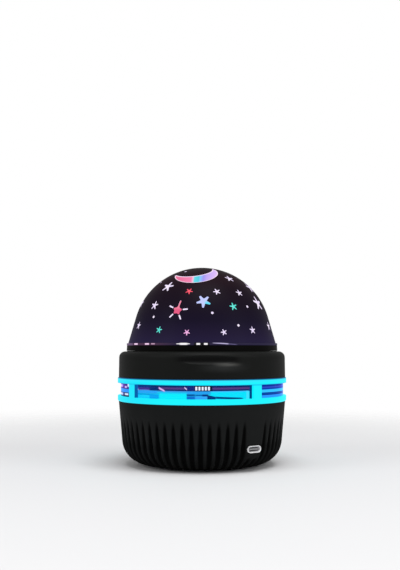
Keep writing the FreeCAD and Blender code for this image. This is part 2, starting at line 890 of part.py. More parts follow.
ring_of(frame, "pillar_pilots", [pillar_pilot], 3)


def screw_outline(circle, shank_radius, head_radius, head_height, seat, tip, head_up):
    """Half section of a pan-head screw whose head bears on seat and whose shank ends at tip."""
    head_end = seat + head_height if head_up else seat - head_height
    rim_level = seat + head_height * head_rim_share if head_up else seat - head_height * head_rim_share
    return [
        (circle, tip),
        (circle + shank_radius, tip),
        (circle + shank_radius, seat),
        (circle + head_radius, seat),
        (circle + head_radius, rim_level),
        (circle + head_radius * head_crown_share, head_end),
        (circle, head_end),
    ]


def screws(label, circle, shank_radius, head_radius, head_height, seat, tip, head_up, count, turn):
    """Identical screws in one node, evenly spaced on a circle."""
    body = new_body(label)
    screw = revolve(body, "screw", [
        screw_outline(circle, shank_radius, head_radius, head_height, seat, tip, head_up),
    ], axis=upright_axis(circle), turn=turn)
    return ring_of(body, "screws", [screw], count)


# Four long screws from below, through plate, lug and board into the frame's legs.
screws("base_screws", s.base_screw_circle, s.base_screw_radius, s.base_head_radius,
       s.base_head_height, head_seat, board_top + s.base_screw_grip, False, 4, 0)


# Glowing ladder ring: two rounded rails joined by four flat posts.
ladder = new_body("light_ring")
revolve(ladder, "sleeve", [[
    (ring_inner, lower_top),
    (s.ring_radius - s.rail_round, lower_top, s.rail_round, 1),
    (s.ring_radius, lower_top + s.rail_round),
    (s.ring_radius, ring_top - s.rail_round, s.rail_round, 1),
    (s.ring_radius - s.rail_round, ring_top),
    (ring_inner, ring_top),
]])
rail_edge_low = lower_top + s.rail_height
rail_edge_high = ring_top - s.rail_height
cut_edge = s.ring_radius + s.overrun
ladder_window = revolve(ladder, "window", [rectangle(
    ring_inner - s.overrun, rail_edge_low, cut_edge, rail_edge_high,
)], turn=45, cut=True, angle=90 - s.post_angle)
ring_of(ladder, "windows", [ladder_window], 4)


# Smoked clear wall behind the ladder.
band = new_body("window_band")
revolve(band, "band", [rectangle(band_outer - s.band_thickness, lower_top, band_outer, ring_top)])


# Four flexible strips round the drum, each with a cluster of five chips.
strip = new_body("glow_strips")
strip_top = ring_top - s.strip_top_drop
strip_face = s.drum_radius + s.strip_thickness
glow_strip = revolve(strip, "strip", [
    rectangle(s.drum_radius, strip_top - s.strip_height, strip_face, strip_top),
], turn=45, angle=s.strip_angle)
ring_of(strip, "strips", [glow_strip], 4)
glow = new_body("glow_chips")
glow_top = ring_top - s.glow_chip_drop
glow_features = []
for number in range(-2, 3):
    glow_features.append(revolve(glow, f"chip_{number + 3}", [
        rectangle(strip_face, glow_top - s.glow_chip_height, strip_face + s.glow_chip_depth, glow_top),
    ], turn=s.glow_chip_turn + s.glow_chip_pitch * number, angle=s.glow_chip_angle))
ring_of(glow, "chips", glow_features, 4)


# Upper housing, with a rounded shoulder, a deck round the dome's collar, four screw lugs
# webbed to the wall, a thumb scoop and three button holes.
housing = new_body("upper_shell")
upper_top_radius = shell_radius - s.upper_lean
revolve(housing, "wall", [[
    (shell_radius - s.upper_wall, ring_top),
    (shell_radius, ring_top),
    (upper_top_radius, deck_top),
    (s.deck_opening, deck_top),
    (s.deck_opening, deck_under),
    (upper_top_radius - s.upper_wall, deck_under),
]])
round_edges(housing, "shoulder", [(upper_top_radius, deck_top)], s.shoulder_round)
round_edges(housing, "inner_shoulder", [(upper_top_radius - s.upper_wall, deck_under)], s.inner_round)
upper_lug = revolve(housing, "lug", [rectangle(
    s.post_circle + s.case_screw_radius + s.pilot_clearance,
    ring_top,
    s.post_circle + s.post_radius,
    ring_top + s.upper_lug_height,
)], axis=upright_axis(s.post_circle), turn=0)
web_width = s.post_radius * web_share
web = pad(housing, "web", [rectangle(
    s.post_circle + s.post_radius * web_start_share,
    -web_width,
    shell_radius - s.upper_wall / 2,
    web_width,
)], s.upper_lug_height, offset=ring_top)
ring_of(housing, "lugs", [upper_lug, web], 4)
scoop_level = deck_top - s.scoop_drop
scoop_across = shell_radius + s.scoop_section - s.scoop_depth
scoop_axis = scoop_across - s.scoop_sweep
revolve(housing, "scoop", [(scoop_across, scoop_level, s.scoop_section)],
        axis=upright_axis(scoop_axis), turn=s.scoop_turn, cut=True)
button_level = deck_top - s.button_drop
button_places = [("button_left", -s.button_pitch), ("button_middle", as_size(0)), ("button_right", s.button_pitch)]
pad(housing, "button_holes", [
    (across, button_level, s.button_radius + s.button_gap) for _, across in button_places
], s.ring_radius, role="XZ_Plane", offset=s.pocket_start, cut=True, backwards=True)

# Four screws that pull the housing down on the ladder and the band.
screws("case_screws", s.post_circle, s.case_screw_radius, s.case_head_radius, s.case_head_height,
       case_head_top, ring_top + s.case_screw_grip, False, 4, 0)


# Three push buttons. Each has a flange behind the wall and a level front face.
button_flange_radius = s.button_radius + s.button_flange
for label, across in button_places:
    button = new_body(label)
    button_face = -(root(shell_radius * shell_radius - across * across) + s.button_proud)
    flange_back = -(s.button_flange_reach - s.button_flange_thickness)
    revolve(button, "cap", [[
        (button_face, button_level),
        (button_face, button_level + s.button_radius - s.button_edge),
        (button_face + s.button_edge, button_level + s.button_radius),
        (-s.button_flange_reach, button_level + s.button_radius),
        (-s.button_flange_reach, button_level + button_flange_radius),
        (flange_back, button_level + button_flange_radius),
        (flange_back, button_level),
    ]], axis=((button_face, button_level), (flange_back, button_level)), role="YZ_Plane", offset=across)


# Switch board behind the buttons, hung from the deck, with one switch for each button.
stem_tip = s.button_flange_reach - s.button_flange_thickness - s.button_travel - s.axial_gap
switch_face = stem_tip - s.stem_length
switch_back = switch_face - s.switch_depth
switch_board = new_body("button_board")
pad(switch_board, "board", [
    rectangle(-s.button_board_half, deck_under - s.button_board_height, s.button_board_half, deck_under),
], s.button_board_thickness, role="XZ_Plane", offset=switch_back - s.button_board_thickness)
switches = new_body("button_switches")
half_switch = s.switch_side / 2
pad(switches, "boxes", [
    rectangle(across - half_switch, button_level - half_switch, across + half_switch, button_level + half_switch)
    for _, across in button_places
], s.switch_depth, role="XZ_Plane", offset=switch_back)
pad(switches, "stems", [
    (across, button_level, s.stem_radius) for _, across in button_places
], s.stem_length, role="XZ_Plane", offset=switch_face)


# Geared motor, standing in the frame's cup with its gearbox screwed to the two posts.
motor = new_body("gear_motor")
revolve(motor, "can", [[
    (motor_centre, frame_top),
    (motor_centre + s.motor_radius - s.motor_edge, frame_top),
    (motor_centre + s.motor_radius, frame_top + s.motor_edge),
    (motor_centre + s.motor_radius, gearbox_base),
    (motor_centre, gearbox_base),
]], axis=upright_axis(motor_centre))
gearbox = new_body("gearbox")
gearbox_top = gearbox_base + s.gearbox_height
ear_top = ear_level + s.ear_thickness
pad(gearbox, "case", [(motor_centre, 0, s.motor_radius)], s.gearbox_height, offset=gearbox_base)
pad(gearbox, "ears", [[
    (motor_centre - s.ear_radius, -s.ear_spread),
    (motor_centre + s.ear_radius, -s.ear_spread),
    (motor_centre + s.ear_radius, s.ear_spread),
    (motor_centre - s.ear_radius, s.ear_spread),
]], s.ear_thickness, offset=ear_level)
pad(gearbox, "ear_ends", [
    (motor_centre, s.ear_spread, s.ear_radius),
    (motor_centre, -s.ear_spread, s.ear_radius),
], s.ear_thickness, offset=ear_level)
pad(gearbox, "ear_holes", [
    (motor_centre, s.ear_spread, s.motor_screw_radius + s.screw_clearance),
    (motor_centre, -s.ear_spread, s.motor_screw_radius + s.screw_clearance),
], s.ear_thickness, offset=ear_level, cut=True, backwards=True)
pad(gearbox, "shaft_hole", [
    (motor_centre, 0, s.shaft_radius + s.running_gap),
], s.shaft_depth, offset=gearbox_top - s.shaft_depth, cut=True, backwards=True)

motor_screws = new_body("motor_screws")
for name, across in (("screw_back", s.ear_spread), ("screw_front", -s.ear_spread)):
    revolve(motor_screws, name, [
        screw_outline(across, s.motor_screw_radius, s.motor_head_radius, s.motor_head_height,
                      ear_top, ear_level - s.motor_screw_grip, True),
    ], axis=upright_axis(across), role="YZ_Plane", offset=motor_centre)


# Drive gears: a ring gear under the turntable, turned by a pinion inside it. Both have
# involute flanks, and at rest a pinion tooth stands in a ring space on the +X side.
pressure_angle = math.radians(20)
full_addendum_share = 1
root_share = 1.25
ring_tip_share = 0.5
flank_shares = [0, 0.33, 0.67, 1]
module = s.gear_module.value
gear_base = (table_under - s.gear_height).value
gear_gap = s.gear_gap.value
backlash = s.gear_backlash.value
ring_pitch_radius = module * ring_teeth / 2
pinion_pitch_radius = module * pinion_teeth / 2


def involute(angle):
    return math.tan(angle) - angle


def flank_angle(teeth, radius, widening):
    """Half the angle that a tooth takes up at a radius, widened or thinned by a length."""
    pitch_radius = module * teeth / 2
    base_radius = pitch_radius * math.cos(pressure_angle)
    middle = math.pi / (2 * teeth) + widening / (2 * pitch_radius)
    here = math.acos(min(base_radius / radius, 1))
    return middle + involute(pressure_angle) - involute(here)


def toothed_wire(teeth, inner_radius, outer_radius, widening):
    """A closed line round all the teeth, the first of them centred on the +X side."""
    base_radius = module * teeth / 2 * math.cos(pressure_angle)
    first_radius = max(inner_radius, base_radius)
    radii = [first_radius + (outer_radius - first_radius) * share for share in flank_shares]
    flank = [(radius, flank_angle(teeth, radius, widening)) for radius in radii]
    if inner_radius < base_radius:
        flank.insert(0, (inner_radius, flank[0][1]))
    points = []
    for tooth in range(teeth):
        centre = 2 * math.pi * tooth / teeth
        corners = [(radius, centre - half) for radius, half in flank]
        corners += [(radius, centre + half) for radius, half in reversed(flank)]
        points += [Vector(radius * math.cos(turn), radius * math.sin(turn), 0) for radius, turn in corners]
    return Part.makePolygon(points + points[:1])


def toothed_solid(wire, level, height):
    face = Part.Face(wire)
    face.translate(Vector(0, 0, level))
    return face.extrude(Vector(0, 0, height))


ring_spaces = toothed_solid(toothed_wire(
    ring_teeth,
    ring_pitch_radius - module * ring_tip_share,
    ring_pitch_radius + module * root_share,
    backlash / 2,
), gear_base, s.gear_height.value)
ring_outer = ring_pitch_radius + module * root_share + s.gear_wall.value
ring_blank = Part.makeCylinder(ring_outer, s.gear_height.value, Vector(0, 0, gear_base))
new_feature("ring_gear", ring_blank.cut(ring_spaces))

pinion_base = gear_base + gear_gap
pinion_height = s.gear_height.value - 2 * gear_gap
pinion_solid = toothed_solid(toothed_wire(
    pinion_teeth,
    pinion_pitch_radius - module * root_share,
    pinion_pitch_radius + module * full_addendum_share,
    -backlash / 2,
), pinion_base, pinion_height)
pinion_solid.translate(Vector(motor_centre.value, 0, 0))
pinion_bore = Part.makeCylinder(
    s.shaft_radius.value, pinion_height, Vector(motor_centre.value, 0, pinion_base))
new_feature("drive_pinion", pinion_solid.cut(pinion_bore))

shaft = new_body("motor_shaft")
revolve(shaft, "shaft", [rectangle(
    motor_centre,
    gearbox_top - s.shaft_depth + s.axial_gap,
    motor_centre + s.shaft_radius,
    table_under - s.gear_gap,
)], axis=upright_axis(motor_centre))


# Hollow pillar that the turntable runs on. It carries the lamp at the dome's centre.
pillar = new_body("lamp_pillar")
hub_low = table_under - s.hub_below
hub_top = table_top + s.hub_above
washer_low = hub_low - s.axial_gap - s.washer_thickness
shoulder_low = washer_low - s.shoulder_thickness
clip_low = hub_top + s.axial_gap
clip_high = clip_low + s.clip_thickness
pillar_bore = s.pillar_radius - s.pillar_wall
groove_radius = s.pillar_radius - s.clip_groove
lamp_board_top = dome_centre - s.lamp_chip_height
sink_top = lamp_board_top - s.lamp_board_thickness
pillar_top = sink_top - s.sink_thickness
pillar_flange_top = frame_top + s.pillar_flange_thickness
revolve(pillar, "tube", [[
    (pillar_bore, frame_top),
    (s.pillar_flange, frame_top),
    (s.pillar_flange, pillar_flange_top),
    (s.pillar_radius, pillar_flange_top),
    (s.pillar_radius, shoulder_low),
    (s.shoulder_radius, shoulder_low),
    (s.shoulder_radius, washer_low),
    (s.pillar_radius, washer_low),
    (s.pillar_radius, clip_low),
    (groove_radius, clip_low),
    (groove_radius, clip_high),
    (s.pillar_radius, clip_high),
    (s.pillar_radius, pillar_top),
    (pillar_bore, pillar_top),
]])
flange_hole = revolve(pillar, "flange_hole", [rectangle(
    s.pillar_screw_circle,
    frame_top,
    s.pillar_screw_circle + s.pillar_screw_radius + s.screw_clearance,
    pillar_flange_top,
)], axis=upright_axis(s.pillar_screw_circle), turn=180, cut=True)
ring_of(pillar, "flange_holes", [flange_hole], 3)
screws("pillar_screws", s.pillar_screw_circle, s.pillar_screw_radius, s.pillar_head_radius,
       s.pillar_head_height, pillar_flange_top, seat_level, True, 3, 180)


# Turntable with its plain bush, the washer it rests on and the spring clip above it.
washer = new_body("thrust_washer")
bush_inner = s.pillar_radius + s.running_gap
bush_outer = bush_inner + s.bush_wall
revolve(washer, "washer", [rectangle(bush_inner, washer_low, s.shoulder_radius, washer_low + s.washer_thickness)])
bush = new_body("turntable_bush")
revolve(bush, "bush", [rectangle(bush_inner, hub_low, bush_outer, hub_top)])
clip = new_body("retaining_clip")
revolve(clip, "clip", [
    rectangle(groove_radius, clip_low, s.pillar_radius + s.clip_width, clip_high),
], angle=360 - s.clip_opening)
table = new_body("turntable")
hub_outer = bush_outer + s.hub_wall
revolve(table, "hub_and_disc", [[
    (bush_outer, hub_low),
    (hub_outer, hub_low),
    (hub_outer, table_under),
    (s.turntable_radius, table_under),
    (s.turntable_radius, table_top),
    (hub_outer, table_top),
    (hub_outer, hub_top),
    (bush_outer, hub_top),
]])
collar_screw_circle = s.spigot_radius - s.spigot_wall / 2
table_hole = revolve(table, "screw_hole", [rectangle(
    collar_screw_circle,
    table_under,
    collar_screw_circle + s.collar_screw_radius + s.screw_clearance,
    table_top,
)], axis=upright_axis(collar_screw_circle), turn=0, cut=True)
ring_of(table, "screw_holes", [table_hole], 3)
screws("collar_screws", collar_screw_circle, s.collar_screw_radius, s.collar_head_radius,
       s.collar_head_height, table_under, table_top + s.collar_screw_grip, False, 3, 0)


# Collar screwed to the turntable: it reaches up through the deck and carries the dome.
collar = new_body("dome_collar")
spigot_inner = s.spigot_radius - s.spigot_wall
revolve(collar, "collar", [[
    (spigot_inner, table_top),
    (s.spigot_radius, table_top),
    (s.spigot_radius, collar_base),
    (s.collar_radius, collar_base),
    (s.collar_radius - s.collar_lean, collar_top),
    (spigot_inner, collar_top),
]])
collar_pilot = revolve(collar, "pilot", [rectangle(
    collar_screw_circle,
    table_top,
    collar_screw_circle + s.collar_screw_radius + s.pilot_clearance,
    table_top + s.collar_screw_grip + s.board_gap,
)], axis=upright_axis(collar_screw_circle), turn=0, cut=True)
ring_of(collar, "pilots", [collar_pilot], 3)


def flare(radius, level):
    """Where the dome's tapered foot stands at a level, for a dome of the given radius."""
    across = radius * cosine(s.dome_draft)
    up = dome_centre + radius * sine(s.dome_draft)
    return across + (up - level) * tangent(s.dome_draft)


def dome_outline(outer, inner, outer_foot, inner_foot):
    """Half section of a round dome on a tapered foot. The foot's own corners come first."""
    return inner_foot + outer_foot + [
        (outer * cosine(s.dome_draft), dome_centre + outer * sine(s.dome_draft), outer, 1),
        (0, dome_centre + outer),
        (0, dome_centre + inner, inner, -1),
        (inner * cosine(s.dome_draft), dome_centre + inner * sine(s.dome_draft)),
    ]


# Clear inner dome with the thin flange that shows above the collar.
clear_dome = new_body("clear_dome")
mask_inner = s.dome_radius - s.mask_wall
clear_outer = mask_inner - s.dome_gap
clear_inner = clear_outer - s.clear_wall
revolve(clear_dome, "dome", [dome_outline(clear_outer, clear_inner, [
    (s.flange_radius, collar_top),
    (s.flange_radius, flange_top),
    (flare(clear_outer, flange_top), flange_top),
], [(flare(clear_inner, collar_top), collar_top)])])
round_edges(clear_dome, "rim", [
    (s.flange_radius, collar_top), (s.flange_radius, flange_top),
], s.flange_round)


# Lamp: a heat sink plugged into the pillar, a round board and four white chips.
sink = new_body("heat_sink")
sink_spigot_radius = pillar_bore - s.running_gap
revolve(sink, "sink", [[
    (0, pillar_top - s.sink_spigot),
    (sink_spigot_radius, pillar_top - s.sink_spigot),
    (sink_spigot_radius, pillar_top),
    (s.sink_radius, pillar_top),
    (s.sink_radius, sink_top),
    (0, sink_top),
]])
lamp_pilot_depth = s.lamp_screw_grip + s.board_gap
pad(sink, "pilots", [
    (s.lamp_screw_circle, 0, s.lamp_screw_radius + s.pilot_clearance),
    (-s.lamp_screw_circle, 0, s.lamp_screw_radius + s.pilot_clearance),
], lamp_pilot_depth, offset=sink_top - lamp_pilot_depth, cut=True, backwards=True)
lamp_board = new_body("star_led_board")
pad(lamp_board, "board", [
    (0, 0, s.lamp_board_radius),
    (s.lamp_screw_circle, 0, s.lamp_screw_radius + s.screw_clearance),
    (-s.lamp_screw_circle, 0, s.lamp_screw_radius + s.screw_clearance),
], s.lamp_board_thickness, offset=sink_top)
leds = new_body("star_leds")
led_low = s.lamp_chip_spread - s.lamp_chip_side / 2
led_high = s.lamp_chip_spread + s.lamp_chip_side / 2
pad(leds, "chips", [
    rectangle(led_low, led_low, led_high, led_high),
    rectangle(-led_high, led_low, -led_low, led_high),
    rectangle(-led_high, -led_high, -led_low, -led_low),
    rectangle(led_low, -led_high, led_high, -led_low),
], s.lamp_chip_height, offset=lamp_board_top)
screws("lamp_screws", s.lamp_screw_circle, s.lamp_screw_radius, s.lamp_head_radius,
       s.lamp_head_height, lamp_board_top, sink_top - s.lamp_screw_grip, True, 2, 0)


# Star mask: the dark outer dome that lifts off, with a coloured window in each opening.
# A place is (turn from the front, share of the dome's height). A star adds its outer
# radius as a share of the dome's radius and the direction of its first ray.
front_turn = 52
far_side = 180
white_star_shares = [
    (-40.9, 0.717, 0.094, 9.6),
    (14.8, 0.639, 0.053, 38.9),
    (40.9, 0.826, 0.07, 11.8),
    (40.1, 0.633, 0.055, 19.4),
    (72, 0.724, 0.1, 20),
    (-46.4, 0.474, 0.066, 13.1),
    (-79, 0.523, 0.075, 18),
    (62.8, 0.513, 0.113, 18.4),
    (-63, 0.223, 0.056, 12),
    (16.6, 0.128, 0.044, 36.1),
    (42.8, 0.158, 0.053, 18),
    (71, 0.217, 0.063, 18),
]
white_dot_shares = [
    (8.4, 0.367),
    (43.2, 0.457),
    (-43.6, 0.326),
    (29.6, 0.215),
    (-36.2, 0.926),
    (-67.6, 0.793),
]
teal_star_shares = [(27.8, 0.451, 0.058, 28.5), (-35, 0.16, 0.049, 6.8)]
red_star_shares = [(-12.8, 0.645, 0.053, 60.1)]
lilac_star_shares = [(-11.4, 0.126, 0.044, 54.7)]
wide_star_shares = [(1.4, 0.512, 0.098, 48.6)]
star_rays = 5
star_waist_share = 0.33
wide_star_waist_share = 0.42
star_tip_share = 0.12
star_round_share = 0.1
dot_radius_share = 0.0175

# The sun: a small core with one long arm of its own colour and four loose white rays, all
# in shares of the dome's radius.
sun_place_shares = (-20.8, 0.403)
sun_first_ray = 7.3
sun_arm_number = 1
sun_core_share = 0.0625
sun_core_waist_share = 0.72
sun_ray_start_share = 0.075
sun_ray_end_share = 0.1475
sun_ray_half_share = 0.0105

# The crescent: what the outer circle leaves beyond the inner one, in its own flat frame,
# each circle as its centre and radius in shares of the dome's radius.
moon_turn = -5
moon_rise = 58
moon_outer_shares = (-0.045, 0.12, 0.305)
moon_inner_shares = (-0.09, 0.245, 0.2625)
moon_tip_share = 0.011
window_reach_shares = 5

mask_radius = s.dome_radius.value
mask_foot = dome_foot.value
mask_middle = dome_centre.value
draft = s.dome_draft.value
draft_level = mask_middle + mask_radius * math.sin(math.radians(draft))
window_reach = s.mask_wall.value * window_reach_shares
sun_ray_end = mask_radius * sun_ray_end_share
moon_tip_round = mask_radius * moon_tip_share


def flat_point(radius, turn):
    turn = math.radians(turn)
    return Vector(radius * math.cos(turn), radius * math.sin(turn), 0)


def facing(turn, rise, across, level):
    """A frame whose flat faces outward at a rise, at a distance from the axis."""
    slant = math.radians(rise)
    upward = Vector(-math.sin(slant), 0, math.cos(slant))
    outward = Vector(math.cos(slant), 0, math.sin(slant))
    frame = Placement(Vector(across, 0, level), Rotation(Vector(0, 1, 0), upward, outward, "ZXY"))
    return Placement(Vector(), Rotation(Vector(0, 0, 1), front_turn + turn)).multiply(frame)


def place_on_mask(turn, share):
    """The frame of the mask's surface at a share of its height."""
    level = mask_foot + (mask_middle + mask_radius - mask_foot) * share
    if level <= draft_level:
        return facing(turn, draft, flare(s.dome_radius, as_size(level)).value, level)
    rise = math.degrees(math.asin((level - mask_middle) / mask_radius))
    return facing(turn, rise, mask_radius * math.cos(math.radians(rise)), level)


def rounded_face(corners, radius, gap):
    """The flat face inside straight sides, drawn in by a gap, with every corner rounded."""
    count = len(corners)
    drawn_in = []
    for number, corner in enumerate(corners):
        back = (corners[number - 1] - corner).normalize()
        ahead = (corners[(number + 1) % count] - corner).normalize()
        side = 1 if ahead.cross(back).z > 0 else -1
        drawn_in.append(corner + (back + ahead).normalize() * (side * gap / math.sin(back.getAngle(ahead) / 2)))
    arcs = []
    for number, corner in enumerate(drawn_in):
        back = (drawn_in[number - 1] - corner).normalize()
        ahead = (drawn_in[(number + 1) % count] - corner).normalize()
        half = back.getAngle(ahead) / 2
        reach = radius / math.tan(half)
        middle = corner + (back + ahead).normalize() * (radius / math.sin(half) - radius)
        arcs.append((corner + back * reach, middle, corner + ahead * reach))
    edges = []
    for number, (start, middle, end) in enumerate(arcs):
        edges.append(Part.Arc(start, middle, end).toShape())
        edges.append(Part.LineSegment(end, arcs[(number + 1) % count][0]).toShape())
    return Part.Face(Part.Wire(edges))


def star_face(radius, first_ray, waist_share, gap):
    """A star whose rays end in blunt tips, all corners rounded."""
    step = 360 / star_rays
    corners = []
    for ray in range(star_rays):
        turn = first_ray + step * ray
        tip = flat_point(radius, turn)
        beside = flat_point(radius * star_tip_share, turn + 90)
        corners += [tip - beside, tip + beside, flat_point(radius * waist_share, turn + step / 2)]
    return rounded_face(corners, radius * star_round_share, gap)


def ray_face(start, turn, gap):
    """A straight slot with round ends that points away from the middle."""
    start += gap
    end = sun_ray_end - gap
    half = mask_radius * sun_ray_half_share - gap
    side = flat_point(half, turn + 90)
    near = flat_point(start + half, turn)
    far = flat_point(end - half, turn)
    return Part.Face(Part.Wire([
        Part.LineSegment(near - side, far - side).toShape(),
        Part.Arc(far - side, flat_point(end, turn), far + side).toShape(),
        Part.LineSegment(far + side, near + side).toShape(),
        Part.Arc(near + side, flat_point(start, turn), near - side).toShape(),
    ]))


def round_face(across, up, radius):
    return Part.Face(Part.Wire(Part.makeCircle(radius, Vector(across, up, 0))))


def moon_face(gap):
    outer_across, outer_up, outer_radius = [mask_radius * share for share in moon_outer_shares]
    inner_across, inner_up, inner_radius = [mask_radius * share for share in moon_inner_shares]
    outer = round_face(outer_across, outer_up, outer_radius - gap)
    inner = round_face(inner_across, inner_up, inner_radius + gap)
    crescent = outer.cut(inner).Faces[0]
    return crescent.makeOffset2D(-moon_tip_round).Faces[0].makeOffset2D(moon_tip_round).Faces[0]


def sun_ray(ray):
    return sun_first_ray + 360 / star_rays * ray


def window_prism(frame, faces):
    """Flat faces carried through the mask at their place, as one solid."""
    prisms = []
    for face in faces:
        face.translate(Vector(0, 0, -window_reach))
        prisms.append(face.extrude(Vector(0, 0, 2 * window_reach)))
    prism = prisms[0]
    for other in prisms[1:]:
        prism = prism.fuse(other)
    prism.Placement = frame
    return prism


def window_places(side, gap):
    """Every window of one side as its node and its prism, smaller all round by a gap."""
    windows = []
    for label, stars, waist_share in (
        ("star_windows_white", white_star_shares, star_waist_share),
        ("star_windows_teal", teal_star_shares, star_waist_share),
        ("star_windows_red", red_star_shares, star_waist_share),
        ("star_windows_lilac", lilac_star_shares, star_waist_share),
        ("star_windows_blue", wide_star_shares, wide_star_waist_share),
    ):
        for turn, share, radius_share, first_ray in stars:
            face = star_face(mask_radius * radius_share, first_ray, waist_share, gap)
            windows.append((label, window_prism(place_on_mask(turn + side, share), [face])))
    for turn, share in white_dot_shares:
        face = round_face(0, 0, mask_radius * dot_radius_share - gap)
        windows.append(("star_windows_white", window_prism(place_on_mask(turn + side, share), [face])))
    turn, share = sun_place_shares
    sun_frame = place_on_mask(turn + side, share)
    for ray in range(star_rays):
        if ray != sun_arm_number:
            face = ray_face(mask_radius * sun_ray_start_share, sun_ray(ray), gap)
            windows.append(("star_windows_white", window_prism(sun_frame, [face])))
    windows.append(("sun_window", window_prism(sun_frame, [
        star_face(mask_radius * sun_core_share, sun_first_ray, sun_core_waist_share, gap),
        ray_face(0, sun_ray(sun_arm_number), gap),
    ])))
    slant = math.radians(moon_rise)
    moon_frame = facing(moon_turn + side, moon_rise, mask_radius * math.cos(slant),
                        mask_middle + mask_radius * math.sin(slant))
    windows.append(("moon_window", window_prism(moon_frame, [moon_face(gap)])))
    return windows


mask_blank = new_body("mask_blank")
revolve(mask_blank, "dome", [dome_outline(s.dome_radius, mask_inner, [
    (flare(s.dome_radius, dome_foot), dome_foot),
], [(flare(mask_inner, dome_foot), dome_foot)])])
window_layer = new_body("window_layer")
window_outer = s.dome_radius - s.window_sink
revolve(window_layer, "layer", [dome_outline(window_outer, mask_inner, [
    (flare(window_outer, dome_foot), dome_foot),
], [(flare(mask_inner, dome_foot), dome_foot)])])
doc.recompute()
del pieces["mask_blank"]
del pieces["window_layer"]

openings = [prism for _, prism in window_places(0, 0) + window_places(far_side, 0)]
new_feature("dome_shell", mask_blank.Shape.cut(openings))
window_gap = s.window_gap.value
inserts = {}
for label, prism in window_places(0, window_gap) + window_places(far_side, window_gap):
    inserts.setdefault(label, []).extend(prism.common(window_layer.Shape).Solids)
for label, solids in inserts.items():
    new_feature(label, Part.makeCompound(solids))


# Nothing is written until every object has been worked out and every piece is sound.
doc.recompute()
for item in doc.Objects:
    if "Invalid" in item.State or "Error" in item.State:
        raise RuntimeError(f"{item.Label} was not worked out: {item.State}")
for label, piece in pieces.items():
    if piece.Shape.isNull() or not piece.Shape.isValid():
        raise RuntimeError(f"{label} has no sound shape")

os.makedirs("parts", exist_ok=True)
for label, piece in pieces.items():
    piece.Shape.exportStep(f"parts/{label}.step")
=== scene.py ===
import math

import bmesh
import bpy
from mathutils import Matrix, Vector


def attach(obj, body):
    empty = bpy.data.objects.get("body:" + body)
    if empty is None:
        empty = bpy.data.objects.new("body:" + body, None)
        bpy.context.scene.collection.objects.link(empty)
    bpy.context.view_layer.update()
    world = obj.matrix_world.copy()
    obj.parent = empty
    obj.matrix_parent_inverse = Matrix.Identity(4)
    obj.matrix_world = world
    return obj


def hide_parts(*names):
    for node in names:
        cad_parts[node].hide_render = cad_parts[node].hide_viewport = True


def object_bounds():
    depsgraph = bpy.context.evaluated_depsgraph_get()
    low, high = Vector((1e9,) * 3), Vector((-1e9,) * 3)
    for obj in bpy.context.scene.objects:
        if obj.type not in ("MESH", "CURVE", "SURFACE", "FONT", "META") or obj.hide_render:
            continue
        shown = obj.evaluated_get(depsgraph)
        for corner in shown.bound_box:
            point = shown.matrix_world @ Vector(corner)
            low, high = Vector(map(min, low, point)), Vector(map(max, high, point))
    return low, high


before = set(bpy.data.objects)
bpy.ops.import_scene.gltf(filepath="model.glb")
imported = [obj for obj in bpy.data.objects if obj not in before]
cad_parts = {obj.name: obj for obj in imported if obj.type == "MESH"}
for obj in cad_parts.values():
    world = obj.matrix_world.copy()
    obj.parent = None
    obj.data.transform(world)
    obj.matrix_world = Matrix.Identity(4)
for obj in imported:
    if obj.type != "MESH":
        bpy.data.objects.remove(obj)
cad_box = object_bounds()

# Camera. It stands half a metre from the projector's axis at the dome's foot height, looks
# level, and is shifted up a little so that the object keeps its upright sides.
mm = 0.001
camera_turn = 52
camera_reach = 500 * mm
camera_height = 68.4 * mm


def polar(radius, turn):
    """A flat place at a radius and a turn in degrees."""
    return radius * math.cos(math.radians(turn)), radius * math.sin(math.radians(turn))


camera_lens = bpy.data.cameras.new("camera")
camera_lens.lens = 52.9
camera_lens.sensor_width = 36
camera_lens.shift_x = -0.0035
camera_lens.shift_y = 0.112
camera = bpy.data.objects.new("camera", camera_lens)
bpy.context.collection.objects.link(camera)
camera.location = (*polar(camera_reach, camera_turn), camera_height)
camera.rotation_euler = (math.radians(90), 0, math.radians(camera_turn + 90))
bpy.context.scene.camera = camera


# Fluted bowl. One injection moulding in satin charcoal ABS, with sixty flutes that start as
# thin grooves under the ladder ring, widen downwards and run out under the bowl. A smooth
# panel stays round the charging port.
bowl_steps = 720
bowl_flutes = 60
bowl_taper = 4.8
bowl_corner = 14.5
bowl_top = (49.4, 37.85)
bowl_corner_centre = (32.956, 15.3)
bowl_underside = [(30.7, 0.8), (30.7, 2.6), (28, 2.6), (28, 4.6), (33.6, 4.6)]
bowl_inner_corner = 11.5
bowl_inner_centre = (33.6, 16.1)
bowl_inner_wall = [(46.4, 31.5), (46.5, 34.3), (47, 37.85)]
wall_rows = 30
corner_rows = 24
flute_depth = 1.4
flute_foot_depth = 0.56
flute_start = 0.33
flute_run_out = 0.08
thin_power = 3
broad_power = 0.62
panel_turn = 90
panel_half = 6
panel_end = 28
panel_run = 14
sharp_angle = 32
merge_gap = 0.002
port_level = 12.9
slot_segments = 40
recess_rows = [(5.1, 2.26, 46.35), (5.4, 2.56, 46.6), (5.7, 2.86, 47.6), (5.7, 2.86, 52)]
hole_rows = [(4.85, 2.01, 35), (4.85, 2.01, 52)]


def smooth(mesh):
    """Shades a mesh smooth and leaves its real edges sharp."""
    mesh.shade_smooth()
    mesh.set_sharp_from_angle(angle=math.radians(sharp_angle))


def new_piece(name, shape, body=None, node=None):
    """Turns a finished bmesh into an object that rides on its body, in place of its node."""
    mesh = bpy.data.meshes.new(name)
    shape.to_mesh(mesh)
    shape.free()
    smooth(mesh)
    shaped = bpy.data.objects.new(name, mesh)
    bpy.context.collection.objects.link(shaped)
    if node:
        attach(shaped, body)
        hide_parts(node)
    return shaped


